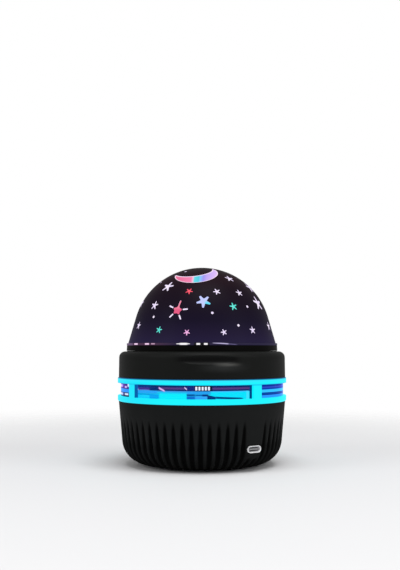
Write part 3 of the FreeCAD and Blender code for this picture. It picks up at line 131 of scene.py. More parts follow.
def carve(solid, cutter_shape):
    """Cuts a closed shape out of a piece."""
    cutter = new_piece("cutter", cutter_shape)
    step = solid.modifiers.new("carve", "BOOLEAN")
    step.operation = "DIFFERENCE"
    step.solver = "EXACT"
    step.object = cutter
    bpy.context.view_layer.update()
    evaluated = solid.evaluated_get(bpy.context.evaluated_depsgraph_get())
    mesh = bpy.data.meshes.new_from_object(evaluated)
    solid.modifiers.clear()
    solid.data = mesh
    smooth(mesh)
    bpy.data.objects.remove(cutter)


def outline_chain(shape, points):
    """A chain of vertices in the XZ plane, given in millimetres as (across, up)."""
    return [shape.verts.new((across * mm, 0, up * mm)) for across, up in points]


def arc_points(centre, radius, start, end, parts):
    """Points along an arc in the XZ plane, with angles in degrees from outward to up."""
    points = []
    for part in range(parts + 1):
        across, up = polar(radius, start + (end - start) * part / parts)
        points.append((centre[0] + across, centre[1] + up))
    return points


def spin(shape, corners, edges, steps, sweep=360):
    """Spins an outline about the vertical axis, as a lathe or a round mould would give it."""
    bmesh.ops.spin(shape, geom=corners + edges, cent=(0, 0, 0), axis=(0, 0, 1), angle=math.radians(sweep),
                   steps=steps, use_merge=sweep == 360, use_duplicate=False)


def turned(points, steps, closed=True, sweep=360):
    """A shape from a spun outline. Both ends of a part turn are capped."""
    shape = bmesh.new()
    corners = outline_chain(shape, points)
    edges = [shape.edges.new(pair) for pair in zip(corners, corners[1:])]
    if closed:
        edges.append(shape.edges.new((corners[-1], corners[0])))
    spin(shape, corners, edges, steps, sweep)
    bmesh.ops.remove_doubles(shape, verts=shape.verts, dist=merge_gap * mm)
    bmesh.ops.recalc_face_normals(shape, faces=shape.faces)
    if sweep < 360:
        bmesh.ops.holes_fill(shape, edges=shape.edges, sides=len(points))
        bmesh.ops.recalc_face_normals(shape, faces=shape.faces)
    return shape


def turn_shape(shape, angle, axis="Z"):
    """Turns a shape about one of the object's axes, in degrees."""
    bmesh.ops.rotate(shape, verts=shape.verts, cent=(0, 0, 0),
                     matrix=Matrix.Rotation(math.radians(angle), 3, axis))


def slot_loop(shape, half_width, half_height, depth):
    """A slot outline with round ends, at the port and across +Y, as a ring of edges."""
    straight = half_width - half_height
    ring = bmesh.ops.create_circle(shape, segments=slot_segments, radius=half_height * mm)["verts"]
    half_step = Matrix.Rotation(math.pi / slot_segments, 3, "Z")
    for vert in ring:
        across, up, _ = half_step @ vert.co
        side = 1 if across > 0 else -1
        vert.co = (across + side * straight * mm, depth * mm, up + port_level * mm)
    return list(dict.fromkeys(edge for vert in ring for edge in vert.link_edges))


def slot_solid(rows, capped=True):
    """Bridges slot outlines, given as (half width, half height, depth), into one solid."""
    shape = bmesh.new()
    loops = [slot_loop(shape, *row) for row in rows]
    pairs = list(zip(loops, loops[1:]))
    if not capped:
        pairs.append((loops[-1], loops[0]))
    for near, far in pairs:
        bmesh.ops.bridge_loops(shape, edges=near + far)
    if capped:
        bmesh.ops.contextual_create(shape, geom=loops[0])
        bmesh.ops.contextual_create(shape, geom=loops[-1])
    bmesh.ops.recalc_face_normals(shape, faces=shape.faces)
    return shape


def corner_place(lean):
    """The point of the bowl's round corner where its surface leans by the given degrees."""
    across, down = polar(bowl_corner, lean)
    return bowl_corner_centre[0] + across, bowl_corner_centre[1] - down


bowl_shape = bmesh.new()
groove_depth, groove_power, wall_lean, painted_groove_shade = [
    bowl_shape.verts.layers.float.new(label)
    for label in ("groove_depth", "groove_power", "wall_lean", "painted_groove_shade")]
bowl_outline = []
wall_foot = corner_place(bowl_taper)
for row in range(wall_rows + 1):
    share = row / wall_rows
    place = (bowl_top[0] + (wall_foot[0] - bowl_top[0]) * share,
             bowl_top[1] + (wall_foot[1] - bowl_top[1]) * share)
    full = min(max((share - flute_start) / (1 - flute_start), 0), 1)
    power = thin_power + (broad_power - thin_power) * full
    bowl_outline.append((place, flute_depth * full, power, bowl_taper))
for row in range(1, corner_rows + 1):
    share = row / corner_rows
    lean = bowl_taper + (90 - bowl_taper) * share
    fade = min((1 - share) / flute_run_out, 1)
    depth = (flute_depth + (flute_foot_depth - flute_depth) * share) * fade
    bowl_outline.append((corner_place(lean), depth, broad_power, lean))
for place in bowl_underside:
    bowl_outline.append((place, 0, 1, 90))
for place in arc_points(bowl_inner_centre, bowl_inner_corner, -90, -bowl_taper, 8)[1:] + bowl_inner_wall:
    bowl_outline.append((place, 0, 1, 0))
bowl_corners = outline_chain(bowl_shape, [place for place, _, _, _ in bowl_outline])
for corner, (_, depth, power, lean) in zip(bowl_corners, bowl_outline):
    corner[groove_depth] = depth * mm
    corner[groove_power] = power
    corner[wall_lean] = lean
bowl_edges = [bowl_shape.edges.new(pair) for pair in zip(bowl_corners, bowl_corners[1:] + bowl_corners[:1])]
spin(bowl_shape, bowl_corners, bowl_edges, bowl_steps)
for vert in bowl_shape.verts:
    depth = vert[groove_depth]
    if depth > 0:
        turn = math.degrees(math.atan2(vert.co.y, vert.co.x))
        if abs(turn - panel_turn) < panel_half:
            depth *= min(max((vert[wall_lean] - panel_end) / panel_run, 0), 1)
        groove = abs(math.sin(math.radians(turn * bowl_flutes / 2))) ** (2 * vert[groove_power])
        lean = math.radians(vert[wall_lean])
        outward = Vector((*polar(math.cos(lean), turn), -math.sin(lean)))
        vert.co -= outward * depth * groove
        # How much painted shade the bowl's material puts into the groove here.
        vert[painted_groove_shade] = groove * min(depth / (flute_foot_depth * mm), 1)
bmesh.ops.recalc_face_normals(bowl_shape, faces=bowl_shape.faces)
bowl = new_piece("fluted_bowl", bowl_shape, "base", "lower_shell")
carve(bowl, slot_solid(recess_rows))
carve(bowl, slot_solid(hole_rows))


def feed(tree, node, inputs):
    """Sets a node's inputs to plain values, or links them from other nodes' outputs."""
    for name, value in inputs.items():
        if isinstance(value, bpy.types.NodeSocket):
            tree.links.new(value, node.inputs[name])
        else:
            node.inputs[name].default_value = value


def add(tree, kind, inputs=None, **settings):
    """Adds one shader node with its settings and its inputs."""
    node = tree.nodes.new("ShaderNode" + kind)
    for name, value in settings.items():
        setattr(node, name, value)
    feed(tree, node, inputs or {})
    return node


def object_place(tree):
    """The place on the surface, in the object's own coordinates."""
    return add(tree, "TexCoord").outputs["Object"]


def calculate(tree, operation, *values):
    """One step of arithmetic on numbers or sockets."""
    return add(tree, "Math", dict(enumerate(values)), operation=operation).outputs[0]


def measure(tree, place, operation, vector):
    """Measures a place against a vector, as a distance or along a direction."""
    return add(tree, "VectorMath", {0: place, 1: vector}, operation=operation).outputs["Value"]


def remap(tree, value, low, high, first=0, last=1, kind="LINEAR"):
    """Maps one range of a value to another and holds it beyond the ends."""
    return add(tree, "MapRange", {
        "Value": value, "From Min": low, "From Max": high, "To Min": first, "To Max": last,
    }, interpolation_type=kind).outputs["Result"]


def blend(tree, share, below, above):
    """Mixes two colours by a share."""
    return add(tree, "Mix", {"Factor": share, "A": below, "B": above}, data_type="RGBA").outputs["Result"]


def noise(tree, place, scale, detail=2):
    """Cloudy noise from 0 to 1."""
    return add(tree, "TexNoise", {"Vector": place, "Scale": scale, "Detail": detail}).outputs["Fac"]


def colour_ramp(tree, value, stops):
    """Colours along a value from 0 to 1, given as positions with screen colours."""
    ramp = add(tree, "ValToRGB", {"Fac": value})
    steps = ramp.color_ramp.elements
    steps[0].color = linear(*stops[0][1])
    steps[1].color = linear(*stops[-1][1])
    for position, colour in stops[1:-1]:
        steps.new(position).color = linear(*colour)
    return ramp.outputs["Color"]


def open_group(name, given=None):
    """A new node group and its inputs: a colour for each value of four numbers, else a number."""
    tree = bpy.data.node_groups.new(name, "ShaderNodeTree")
    for label, value in (given or {}).items():
        kind = "NodeSocketColor" if isinstance(value, tuple) else "NodeSocketFloat"
        tree.interface.new_socket(name=label, in_out="INPUT", socket_type=kind).default_value = value
    return tree, tree.nodes.new("NodeGroupInput").outputs if given else None


def close_group(tree, results):
    """Gives a node group its outputs."""
    for label in results:
        kind = "NodeSocketColor" if label == "Colour" else "NodeSocketFloat"
        tree.interface.new_socket(name=label, in_out="OUTPUT", socket_type=kind)
    feed(tree, tree.nodes.new("NodeGroupOutput"), results)
    return tree


def use_group(tree, group, inputs=None):
    """Puts a node group into a material and gives its outputs."""
    return add(tree, "Group", inputs, node_tree=group).outputs


def moulded_skin_group():
    """Fine spark-eroded grain, faint cloudiness and slight rub marks of a moulded plastic."""
    tree, given = open_group("moulded_skin", {
        "Colour": (0.5, 0.5, 0.5, 1), "Worn colour": (0.6, 0.6, 0.6, 1),
        "Roughness": 0.5, "Grain scale": 2500,
    })
    place = object_place(tree)
    cloud = noise(tree, place, scale=45, detail=4)
    rub = remap(tree, cloud, 0.35, 0.75)
    polish = calculate(tree, "SUBTRACT", given["Roughness"], 0.08)
    return close_group(tree, {
        "Colour": blend(tree, rub, given["Colour"], given["Worn colour"]),
        "Roughness": calculate(tree, "MULTIPLY_ADD", cloud, 0.16, polish),
        "Height": noise(tree, place, given["Grain scale"]),
    })


moulded_skin = moulded_skin_group()


def plain_material(name):
    """A material with its node tree and its Principled shader, ready for its own nodes."""
    material = bpy.data.materials.new(name)
    material.use_nodes = True
    return material, material.node_tree, material.node_tree.nodes["Principled BSDF"]


def linear(red, green, blue):
    """A colour as seen on a screen, from 0 to 255, turned into light values."""
    values = []
    for level in (red, green, blue):
        level /= 255
        values.append(level / 12.92 if level <= 0.04045 else ((level + 0.055) / 1.055) ** 2.4)
    return (*values, 1)


def relief(tree, height, strength):
    """A shallow relief of the surface."""
    bump = add(tree, "Bump", {"Height": height, "Strength": strength, "Distance": 0.02 * mm})
    return bump.outputs["Normal"]


def moulded(name, colour, worn, roughness, grain_scale=2500, bump=0.12, specular=0.4):
    """Moulded plastic with its grain, from the shared skin, in two screen colours."""
    material, tree, shader = plain_material(name)
    skin = use_group(tree, moulded_skin, {
        "Colour": linear(*colour), "Worn colour": linear(*worn),
        "Roughness": roughness, "Grain scale": grain_scale,
    })
    feed(tree, shader, {
        "Base Color": skin["Colour"], "Roughness": skin["Roughness"],
        "Normal": relief(tree, skin["Height"], bump), "Specular IOR Level": specular,
    })
    return material


charcoal_tones = ((18, 19, 18), (22, 23, 22))
charcoal = moulded("charcoal_abs", *charcoal_tones, 0.5, specular=0.08)


def charcoal_with_painted_shade():
    """The charcoal plastic, with painted shade that turns it deep black in the grooves and towards the foot.
    """
    material = moulded("charcoal_abs_with_painted_shade", (27, 28, 28), (31, 32, 32), 0.5, specular=0.02)
    tree = material.node_tree
    shader = tree.nodes["Principled BSDF"]
    skin_colour = shader.inputs["Base Color"].links[0].from_socket
    # Painted shade: near black deep in the grooves, and darker towards the foot.
    shade = add(tree, "Attribute", attribute_name="painted_groove_shade").outputs["Fac"]
    groove = remap(tree, shade, 0.02, 0.8, kind="SMOOTHSTEP")
    height = add(tree, "SeparateXYZ", {"Vector": object_place(tree)}).outputs["Z"]
    foot = remap(tree, height, 18 * mm, 3 * mm, 0, 0.5, "SMOOTHSTEP")
    painted_shade = calculate(tree, "MAXIMUM", groove, foot)
    feed(tree, shader, {"Base Color": blend(tree, painted_shade, skin_colour, (0.0008, 0.0008, 0.0008, 1))})
    return material


def dress(target, material):
    """Puts one material on a new piece or on a CAD node that stays."""
    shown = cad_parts[target] if isinstance(target, str) else target
    shown.data.materials.clear()
    shown.data.materials.append(material)


dress(bowl, charcoal_with_painted_shade())


# Feet and base plate. Four soft rubber pads are pressed into round recesses of a plate in
# the same charcoal plastic, which four screws hold to the bowl from below.
dress("foot_pads", moulded("foot_rubber", (38, 38, 39), (50, 50, 50), 0.8, grain_scale=1400, bump=0.3))
dress("base_plate", charcoal)


# Charging port. A satin aluminium rim is pressed into the bowl, with the drawn steel shell
# of the socket and its grey tongue inside.
rim_rows = [
    (4.8, 1.96, 44.75), (4.8, 1.96, 47.2), (4.76, 1.92, 47.31), (4.7, 1.86, 47.35), (4.6, 1.76, 47.34),
    (4.53, 1.69, 47.31), (4.5, 1.66, 47.22), (4.5, 1.66, 44.75),
]
socket_rows = [
    (4.47, 1.63, 39.75), (4.47, 1.63, 47.02), (4.41, 1.57, 47.1), (4.24, 1.40, 47.09), (4.16, 1.32, 46.95),
    (4.16, 1.32, 39.75),
]
rim = new_piece("port_rim_ring", slot_solid(rim_rows, capped=False), "base", "port_rim")
socket_can = new_piece("port_socket_shell", slot_solid(socket_rows, capped=False), "base", "usb_shell")


def brushed_group():
    """Fine level lines of a drawn metal surface."""
    tree, given = open_group("drawn_lines", {
        "Roughness": 0.3, "Bright colour": (0.7, 0.7, 0.7, 1), "Dark colour": (0.5, 0.5, 0.5, 1),
    })
    stretched = add(tree, "Mapping", {"Vector": object_place(tree), "Scale": (60, 60, 2400)})
    lines = noise(tree, stretched.outputs["Vector"], scale=1, detail=3)
    return close_group(tree, {
        "Colour": blend(tree, lines, given["Bright colour"], given["Dark colour"]),
        "Roughness": calculate(tree, "MULTIPLY_ADD", lines, 0.2, given["Roughness"]),
        "Height": lines,
    })


drawn_lines = brushed_group()


def metal(name, bright, dark, roughness, metallic=1.0):
    """Bare metal with drawn lines, in two screen colours."""
    material, tree, shader = plain_material(name)
    lines = use_group(tree, drawn_lines, {
        "Bright colour": linear(*bright), "Dark colour": linear(*dark), "Roughness": roughness,
    })
    feed(tree, shader, {
        "Base Color": lines["Colour"], "Roughness": lines["Roughness"],
        "Normal": relief(tree, lines["Height"], 0.08), "Metallic": metallic,
    })
    return material


steel = metal("drawn_steel", (170, 172, 176), (140, 142, 148), 0.28)
dress(rim, metal("rim_aluminium", (250, 250, 250), (238, 238, 240), 0.35, metallic=0.2))
dress(socket_can, metal("bright_steel", (236, 236, 238), (220, 220, 224), 0.35, metallic=0.3))
dress("usb_tongue", moulded("tongue_grey", (150, 150, 151), (138, 138, 140), 0.55))


# Ladder ring. A milky acrylic light guide in one piece, two rounded rails and four flat
# posts, lit from inside to cyan, with painted shade along its top and bottom edges and down
# one post's side. It is clamped between bowl and housing.
ring_base = 37.85
ring_crown = 51.8
ring_inner = 48.25
rail_height = 3.2
rail_round = 0.9
rail_centre = 49.1
post_half = 3.325
window_reach = (47, 51)


def box_outline(inner, outer, low, high):
    """The outline of a straight wall."""
    return [(inner, low), (outer, low), (outer, high), (inner, high)]


ring_section = (
    [(ring_inner, ring_base)] + arc_points((rail_centre, ring_base + rail_round), rail_round, -90, 0, 6)
    + arc_points((rail_centre, ring_crown - rail_round), rail_round, 0, 90, 6) + [(ring_inner, ring_crown)]
)
ladder = new_piece("ladder_light_guide", turned(ring_section, steps=240), "base", "light_ring")
window_sections = bmesh.new()
for quarter in range(4):
    opening = box_outline(*window_reach, ring_base + rail_height, ring_crown - rail_height)
    wedge = turned(opening, steps=41, sweep=90 - 2 * post_half)
    turn_shape(wedge, 90 * quarter + post_half)
    wedge_mesh = bpy.data.meshes.new("wedge")
    wedge.to_mesh(wedge_mesh)
    wedge.free()
    window_sections.from_mesh(wedge_mesh)
carve(ladder, window_sections)


def soft_band(tree, value, low, high, softness):
    """A mask that is one between two values and fades out softly on both sides."""
    rise = remap(tree, value, low - softness, low + softness, 0, 1, "SMOOTHSTEP")
    fall = remap(tree, value, high - softness, high + softness, 1, 0, "SMOOTHSTEP")
    return calculate(tree, "MULTIPLY", rise, fall)


def layered_glow_group(name, ground, layers, boost=(1, 1, 1, 1)):
    """Glow painted round the axis. Each layer is a colour, a range of turn in degrees with
    its softness, a range of height in millimetres with its softness, and for some a slope.
    The boost makes up for what a tinted cover takes away."""

    def light(colour):
        return [value * more for value, more in zip(linear(*colour), boost)]

    tree, _ = open_group(name)
    axes = add(tree, "SeparateXYZ", {"Vector": object_place(tree)}).outputs
    turn = calculate(tree, "DEGREES", calculate(tree, "ARCTAN2", axes["Y"], axes["X"]))
    height = calculate(tree, "MULTIPLY", axes["Z"], 1 / mm)
    glow = light(ground)
    for colour, turn_low, turn_high, turn_soft, low, high, soft, *slope in layers:
        level = calculate(tree, "MULTIPLY_ADD", turn, -slope[0], height) if slope else height
        across = soft_band(tree, turn, turn_low, turn_high, turn_soft)
        upward = soft_band(tree, level, low, high, soft)
        glow = blend(tree, calculate(tree, "MULTIPLY", across, upward), glow, light(colour))
    return close_group(tree, {"Colour": glow})


def lit(name, group, base=(0.02, 0.02, 0.02, 1), roughness=0.45, specular=0.3):
    """A surface that shows a glow painted by one of the glow groups."""
    material, tree, shader = plain_material(name)
    feed(tree, shader, {
        "Emission Color": use_group(tree, group)["Colour"], "Emission Strength": 1,
        "Base Color": base, "Roughness": roughness, "Specular IOR Level": specular,
    })
    return material


# Cyan glow with painted shade: a navy painted shadow along the top edge under the housing, darker towards
# the bottom edge over the bowl, and a dark painted line down one post's side.
ladder_glow_and_painted_shade = layered_glow_group("ladder_cyan", (8, 240, 254), [
    ((4, 226, 248), -40, 14, 18, 30, 60, 1),
    ((40, 226, 255), -180, 180, 1, 50.2, 50.9, 0.4),
    ((4, 60, 120), -180, 180, 1, 51.25, 53, 0.3),
    ((4, 200, 235), -180, 180, 1, 48.2, 49, 0.4),
    ((4, 150, 165), -180, 180, 1, 30, 38, 0.25),
    ((4, 84, 160), 3.2, 3.5, 0.05, 41.1, 48.5, 0.05),
])
dress(ladder, lit("ladder_light", ladder_glow_and_painted_shade, (0.004, 0.05, 0.06, 1), roughness=0.4, specular=0.15))


# Window band. A clear polycarbonate hoop behind the ladder, glued at its lower edge into
# the bowl, so that the windows are closed to dust and fingers. In two windows its tint is
# darkened as painted shade, and it carries painted glow, painted reflections and a painted highlight.
band_inner = 46.4
band_outer = 48.2
band_shape = turned(box_outline(band_inner, band_outer, ring_base, ring_crown), steps=240)
band = new_piece("clear_window_hoop", band_shape, "base", "window_band")


def clear_tint_group():
    """Slight unevenness of a clear moulding: its tint and its polish."""
    tree, given = open_group("clear_tint", {
        "Tint": (1, 1, 1, 1), "Deep tint": (0.9, 0.9, 0.9, 1), "Roughness": 0.02,
    })
    flow = noise(tree, object_place(tree), scale=30)
    return close_group(tree, {
        "Colour": blend(tree, flow, given["Tint"], given["Deep tint"]),
        "Roughness": calculate(tree, "MULTIPLY_ADD", flow, 0.02, given["Roughness"]),
    })


clear_tint = clear_tint_group()


def clear_moulding(name, tint, deep_tint, roughness, index):
    """Clear plastic that light goes through."""
    material, tree, shader = plain_material(name)
    body = use_group(tree, clear_tint, {"Tint": tint, "Deep tint": deep_tint, "Roughness": roughness})
    feed(tree, shader, {
        "Base Color": body["Colour"], "Roughness": body["Roughness"],
        "Metallic": 0, "Transmission Weight": 1, "IOR": index,
    })
    return material


hoop_tint = (0.3, 0.4, 0.75, 1)
hoop_boost = [1 / share for share in hoop_tint]
hoop_material = clear_moulding("blue_clear_hoop", hoop_tint, hoop_tint, roughness=0.02, index=1.1)
hoop_tree = hoop_material.node_tree
# The hoop's own tint, darkened to near black in two windows as painted shade.
hoop_tint_and_painted_shade = layered_glow_group("hoop_tint_and_painted_shade", (149, 170, 225), [
    ((12, 16, 60), -90, -4, 0.6, 30, 60, 1),
    ((12, 16, 60), 93, 176, 0.6, 30, 60, 1),
])
# Painted light on the hoop in those two windows: painted glow, painted reflections, and a painted highlight
# near the hoop's edge.
hoop_painted_light = layered_glow_group("hoop_window_painted_light", (0, 0, 0), [
    ((66, 14, 112), -90, -4, 1, 45.7, 48.6, 0.2),
    ((48, 145, 232), -90, -4, 1, 43.5, 45.5, 0.25),
    ((20, 22, 68), -90, -4, 1, 40.9, 43.2, 0.25),
    ((214, 178, 250), -70, -21, 1.5, 46.3, 47.7, 0.3),
    ((226, 196, 252), -14.8, -11, 0.8, 46.1, 47.1, 0.3),
    ((214, 236, 255), -9.6, -6, 0.8, 46.9, 48.4, 0.3),
    ((200, 216, 250), -32, -20, 1.5, 41.8, 43, 0.3),
    ((226, 236, 255), -14.6, -8.6, 0.8, 42, 43, 0.3),
    ((6, 46, 140), 93, 176, 1, 47.5, 48.6, 0.2),
    ((44, 74, 182), 93, 176, 1, 46.5, 47.4, 0.25),
    ((2, 60, 164), 93, 176, 1, 45.8, 46.4, 0.2),
    ((50, 192, 254), 93, 176, 1, 44.1, 45.7, 0.2),
    ((2, 66, 150), 93, 176, 1, 42.9, 43.9, 0.25),
    ((42, 146, 242), 93, 176, 1, 40.8, 42.6, 0.2),
    ((126, 176, 236), 134, 176, 4, 41, 48.6, 0.2),
])
feed(hoop_tree, hoop_tree.nodes["Principled BSDF"], {
    "Base Color": use_group(hoop_tree, hoop_tint_and_painted_shade)["Colour"],
    "Emission Color": use_group(hoop_tree, hoop_painted_light)["Colour"], "Emission Strength": 1,
})
dress(band, hoop_material)


# Middle frame and its drum. One dark moulding in glass-filled nylon that joins both
# halves. Its drum stands behind the clear hoop and carries painted light for the windows:
# painted glow of the strips, painted reflections and painted shadow.
# Painted light on the drum and the strips: each row is a patch of painted glow, painted reflection or
# painted shadow, such as the navy painted shadow under the top rail and the dark band beside the left post.
window_layers = [
    ((4, 34, 88), -180, 180, 4, 47.4, 52, 0.25),
    ((84, 56, 120), -180, 180, 4, 46.1, 47.2, 0.25),
    ((12, 30, 92), -180, 180, 4, 45.4, 45.9, 0.15),
    ((66, 165, 240), -180, 180, 4, 44.7, 45.2, 0.2),
    ((26, 204, 250), -180, 180, 4, 43.6, 44.6, 0.2),
    ((6, 234, 252), -180, 180, 4, 38, 43.5, 0.3),
    ((14, 52, 124), -3, 12, 2, 46.5, 48, 0.2),
    ((66, 46, 140), -2, 10, 1.5, 45.8, 46.7, 0.25),
    ((110, 120, 215), 0, 10, 2, 45.3, 45.6, 0.15),
    ((6, 40, 104), 9.5, 18, 1, 45.2, 47.4, 0.2),
    ((170, 210, 250), -3.2, -0.5, 0.6, 45.2, 45.9, 0.2),
    ((38, 165, 245), -4, 17, 1.5, 43.5, 45.1, 0.2),
    ((2, 140, 220), -4, 14, 2, 42.6, 43.3, 0.2),
    ((16, 205, 252), -4, 9, 2, 40, 42.5, 0.2),
    ((8, 164, 240), 9, 18.5, 1, 40, 43.2, 0.3),
    ((8, 236, 252), 19.3, 40.4, 0.6, 38, 43.7, 0.2),
    ((228, 184, 242), 18.6, 23.4, 0.5, 52.4, 53.4, 0.25, -0.33),
    ((20, 34, 110), 41.2, 46.6, 0.5, 45.3, 48, 0.2),
    ((226, 210, 255), 39.2, 41, 0.3, 70.4, 71.1, 0.25, -0.6),
    ((2, 16, 40), 46.6, 59.5, 0.5, 45.2, 52, 0.2),
    ((34, 160, 240), 41, 58, 0.7, 43.5, 45, 0.2),
    ((0, 62, 140), 40.8, 47, 0.5, 42.6, 43.5, 0.2),
    ((14, 108, 204), 40.8, 47.4, 0.5, 38, 42.5, 0.2),
    ((4, 96, 178), 47, 53, 0.8, 42.5, 43.4, 0.2),
    ((52, 164, 250), 47, 56, 0.8, 38, 42.4, 0.2),
    ((0, 46, 120), 52.2, 56.5, 0.5, 42.4, 43.5, 0.2),
    ((6, 226, 252), 58.6, 88.4, 0.6, 38, 44.9, 0.2),
    ((62, 190, 252), 58, 90, 0.8, 44.7, 45.2, 0.15),
    ((0, 50, 116), 55.8, 62, 0.5, 50, 53.3, 0.2, -0.18),
    ((0, 56, 118), 61.5, 83.5, 1.5, 43.6, 44.75, 0.2, -0.04),
    ((70, 224, 255), 86.6, 87.7, 0.3, 40, 45.2, 0.2),
    ((0, 58, 120), 88.1, 101, 0.3, 38, 52, 0.3),
    ((10, 96, 178), -14, -3.6, 0.4, 38, 52, 0.3),
    ((4, 52, 140), 101, 140, 0.4, 47.2, 52, 0.2),
    ((22, 58, 176), 101, 140, 0.4, 46, 47.1, 0.2),
    ((44, 190, 254), 101, 140, 0.4, 44, 45.4, 0.2),
    ((0, 80, 164), 101, 140, 0.4, 42.6, 43.6, 0.2),
    ((40, 146, 244), 101, 140, 0.4, 38, 42.3, 0.2),
]
drum_painted_light = layered_glow_group("drum_painted_light", (6, 40, 94), window_layers, hoop_boost)
dress("mid_frame", lit("frame_with_painted_light", drum_painted_light, (0.01, 0.012, 0.03, 1), roughness=0.55))


# Light strips. Four thin flexible boards with their small white chips are stuck round the
# drum, one behind each window.
# The strip boards carry the same painted light as the drum.
dress("glow_strips", lit("strip_film", drum_painted_light, (0.02, 0.02, 0.04, 1), roughness=0.5))
chip_glow = layered_glow_group("chip_white", (250, 252, 255), [
    ((240, 240, 255), -180, 180, 1, 0, 47.2, 0.2),
], hoop_boost)
dress("glow_chips", lit("chip_light", chip_glow, (0.1, 0.1, 0.1, 1)))


# Upper housing. One moulding in the same satin charcoal, with a soft shoulder, a deck with a
# fine dust lip under the collar, three button holes, and a thumb scoop with painted shade in
# its upper hollow and a painted highlight on and below its lower lip.
housing_foot = 49.4
housing_head = 49.15
housing_wall = 2.2
deck_top = 66.9
deck_opening = 40.6
deck_chamfer = 0.25
shoulder_round = 3.6
shoulder_shift = 0.06
inner_round = 1.4
foot_chamfer = 0.15
wall_rise = 11.5
wall_draft = 0.19
wall_parts = 6
lip_outer = 44.5
lip_inner = 43.6
lip_height = 0.3
scoop_radius = 3.4
scoop_depth = 1.5
scoop_sweep = 100
scoop_width = 36
scoop_corners = 48
scoop_level = 62.6
scoop_turn = 56
button_level = 60.9
button_places = (-9, 0, 9)
button_radius = 2.8
button_gap = 0.3
hole_corners = 64
hole_middle = -48
hole_reach = 18
deck_under = deck_top - housing_wall
shoulder_centre = (housing_head - shoulder_round + shoulder_shift, deck_top - shoulder_round)
inner_centre = (housing_head - housing_wall - inner_round, deck_under - inner_round)
housing_section = (
    [(housing_foot - foot_chamfer, ring_crown), (housing_foot, ring_crown + foot_chamfer)]
    + [(housing_foot - wall_draft * part / wall_parts, ring_crown + wall_rise * part / wall_parts)
       for part in range(1, wall_parts)]
    + arc_points(shoulder_centre, shoulder_round, 1, 90, 16)
    + [(lip_outer, deck_top), (lip_outer, deck_top + lip_height), (lip_inner, deck_top + lip_height),
       (lip_inner, deck_top), (deck_opening + deck_chamfer, deck_top),
       (deck_opening, deck_top - deck_chamfer), (deck_opening, deck_under)]
    + arc_points(inner_centre, inner_round, 90, 1, 6)
    + [(housing_foot - housing_wall, ring_crown)]
)
housing = new_piece("upper_housing", turned(housing_section, steps=360), "base", "upper_shell")
scoop_section = arc_points((scoop_sweep, scoop_level), scoop_radius, 0, 360, scoop_corners)[:-1]
scoop_axis = polar(housing_foot + scoop_radius - scoop_depth - scoop_sweep, scoop_turn)
scoop_shape = turned(scoop_section, steps=160, sweep=scoop_width)
turn_shape(scoop_shape, scoop_turn - scoop_width / 2)
bmesh.ops.translate(scoop_shape, verts=scoop_shape.verts, vec=(scoop_axis[0] * mm, scoop_axis[1] * mm, 0))
carve(housing, scoop_shape)
holes = bmesh.new()
hole_radius = (button_radius + button_gap) * mm
for across in button_places:
    place = Matrix.Translation((across * mm, hole_middle * mm, button_level * mm))
    laid = place @ Matrix.Rotation(math.radians(90), 4, "X")
    half_step = Matrix.Rotation(math.pi / hole_corners, 4, "Z")
    bmesh.ops.create_cone(holes, segments=hole_corners, radius1=hole_radius, radius2=hole_radius,
                          depth=hole_reach * mm, cap_ends=True, matrix=laid @ half_step)
carve(housing, holes)
housing_charcoal = moulded("housing_charcoal_abs", *charcoal_tones, 0.5, specular=0.08)
housing_tree = housing_charcoal.node_tree
# Painted light round the scoop: a soft painted highlight below it, a brighter painted highlight on its lower
# lip, and painted shade in its upper hollow.
scoop_painted_light = layered_glow_group("scoop_painted_light", (19, 20, 19), [
    ((42, 43, 43), 56, 76, 11, 56.5, 60.4, 2),
    ((86, 86, 84), 63, 74, 6, 59.2, 60.4, 0.9),
    ((8, 8, 8), 36, 76, 4, 61.3, 64, 0.5),
])
housing_tone = use_group(housing_tree, scoop_painted_light)["Colour"]
# The painted highlight and painted shade take the place of both colours of the moulded skin.
feed(housing_tree, housing_tree.nodes["Group"], {"Colour": housing_tone, "Worn colour": housing_tone})
dress(housing, housing_charcoal)


# Push buttons. Three turned-looking caps in a slightly paler plastic, each with a dished
# face and a flange behind the wall, so that they can't fall out.
button_stand = 0.5
button_flange = 3.4
flange_span = (44.1, 45.1)
button_plastic = moulded("button_plastic", (52, 52, 54), (60, 60, 62), 0.42)
for label, across in zip(("button_left", "button_middle", "button_right"), button_places):
    face = math.sqrt(housing_foot ** 2 - across ** 2) + button_stand
    dish = [(0, face - 0.22), (0.9, face - 0.2), (1.6, face - 0.12), (2.1, face)]
    rounding = [(2.5, face), (2.68, face - 0.08), (button_radius, face - 0.3)]
    flange = [(button_radius, flange_span[1]), (button_flange, flange_span[1]),
              (button_flange, flange_span[0]), (0, flange_span[0])]
    cap = turned(dish + rounding + flange, steps=64, closed=False)
    turn_shape(cap, 90, "X")
    bmesh.ops.translate(cap, verts=cap.verts, vec=(across * mm, 0, button_level * mm))
    button = new_piece(label + "_cap", cap, label, label)
    dress(button, button_plastic)


# Collar. A sloped gloss ring, screwed to the turntable, that turns with the dome and hides
# the gap in the deck.
dress("dome_collar", moulded(
    "collar_gloss", (8, 8, 7), (11, 10, 10), 0.45, grain_scale=900, bump=0.04, specular=0.03))


# Clear dome. A thin polycarbonate shell glued on the collar. Its flange stands out under
# the star mask as a fine bright edge, with painted purple and pink glow and painted highlights.
clear_outer = 39.2
clear_inner = 38
flange_radius = 44.7
flange_under = 70.4
flange_top = 71.7
flange_round = 0.25
flange_corner = 0.07
dome_centre = 75.7
dome_draft = 16.5


def dome_side(radius, foot, parts, top_parts):
    """The outline of a dome from its foot up to the pole: a leaning side and a round top."""
    across, up = polar(radius, dome_draft)
    side_top = (across, dome_centre + up)
    reach = side_top[0] + (side_top[1] - foot) * math.tan(math.radians(dome_draft))
    side = [(reach + (side_top[0] - reach) * part / parts, foot + (side_top[1] - foot) * part / parts)
            for part in range(parts)]
    top = arc_points((0, dome_centre), radius, dome_draft, 90, top_parts)[:-1]
    return side + top + [(0, dome_centre + radius)]


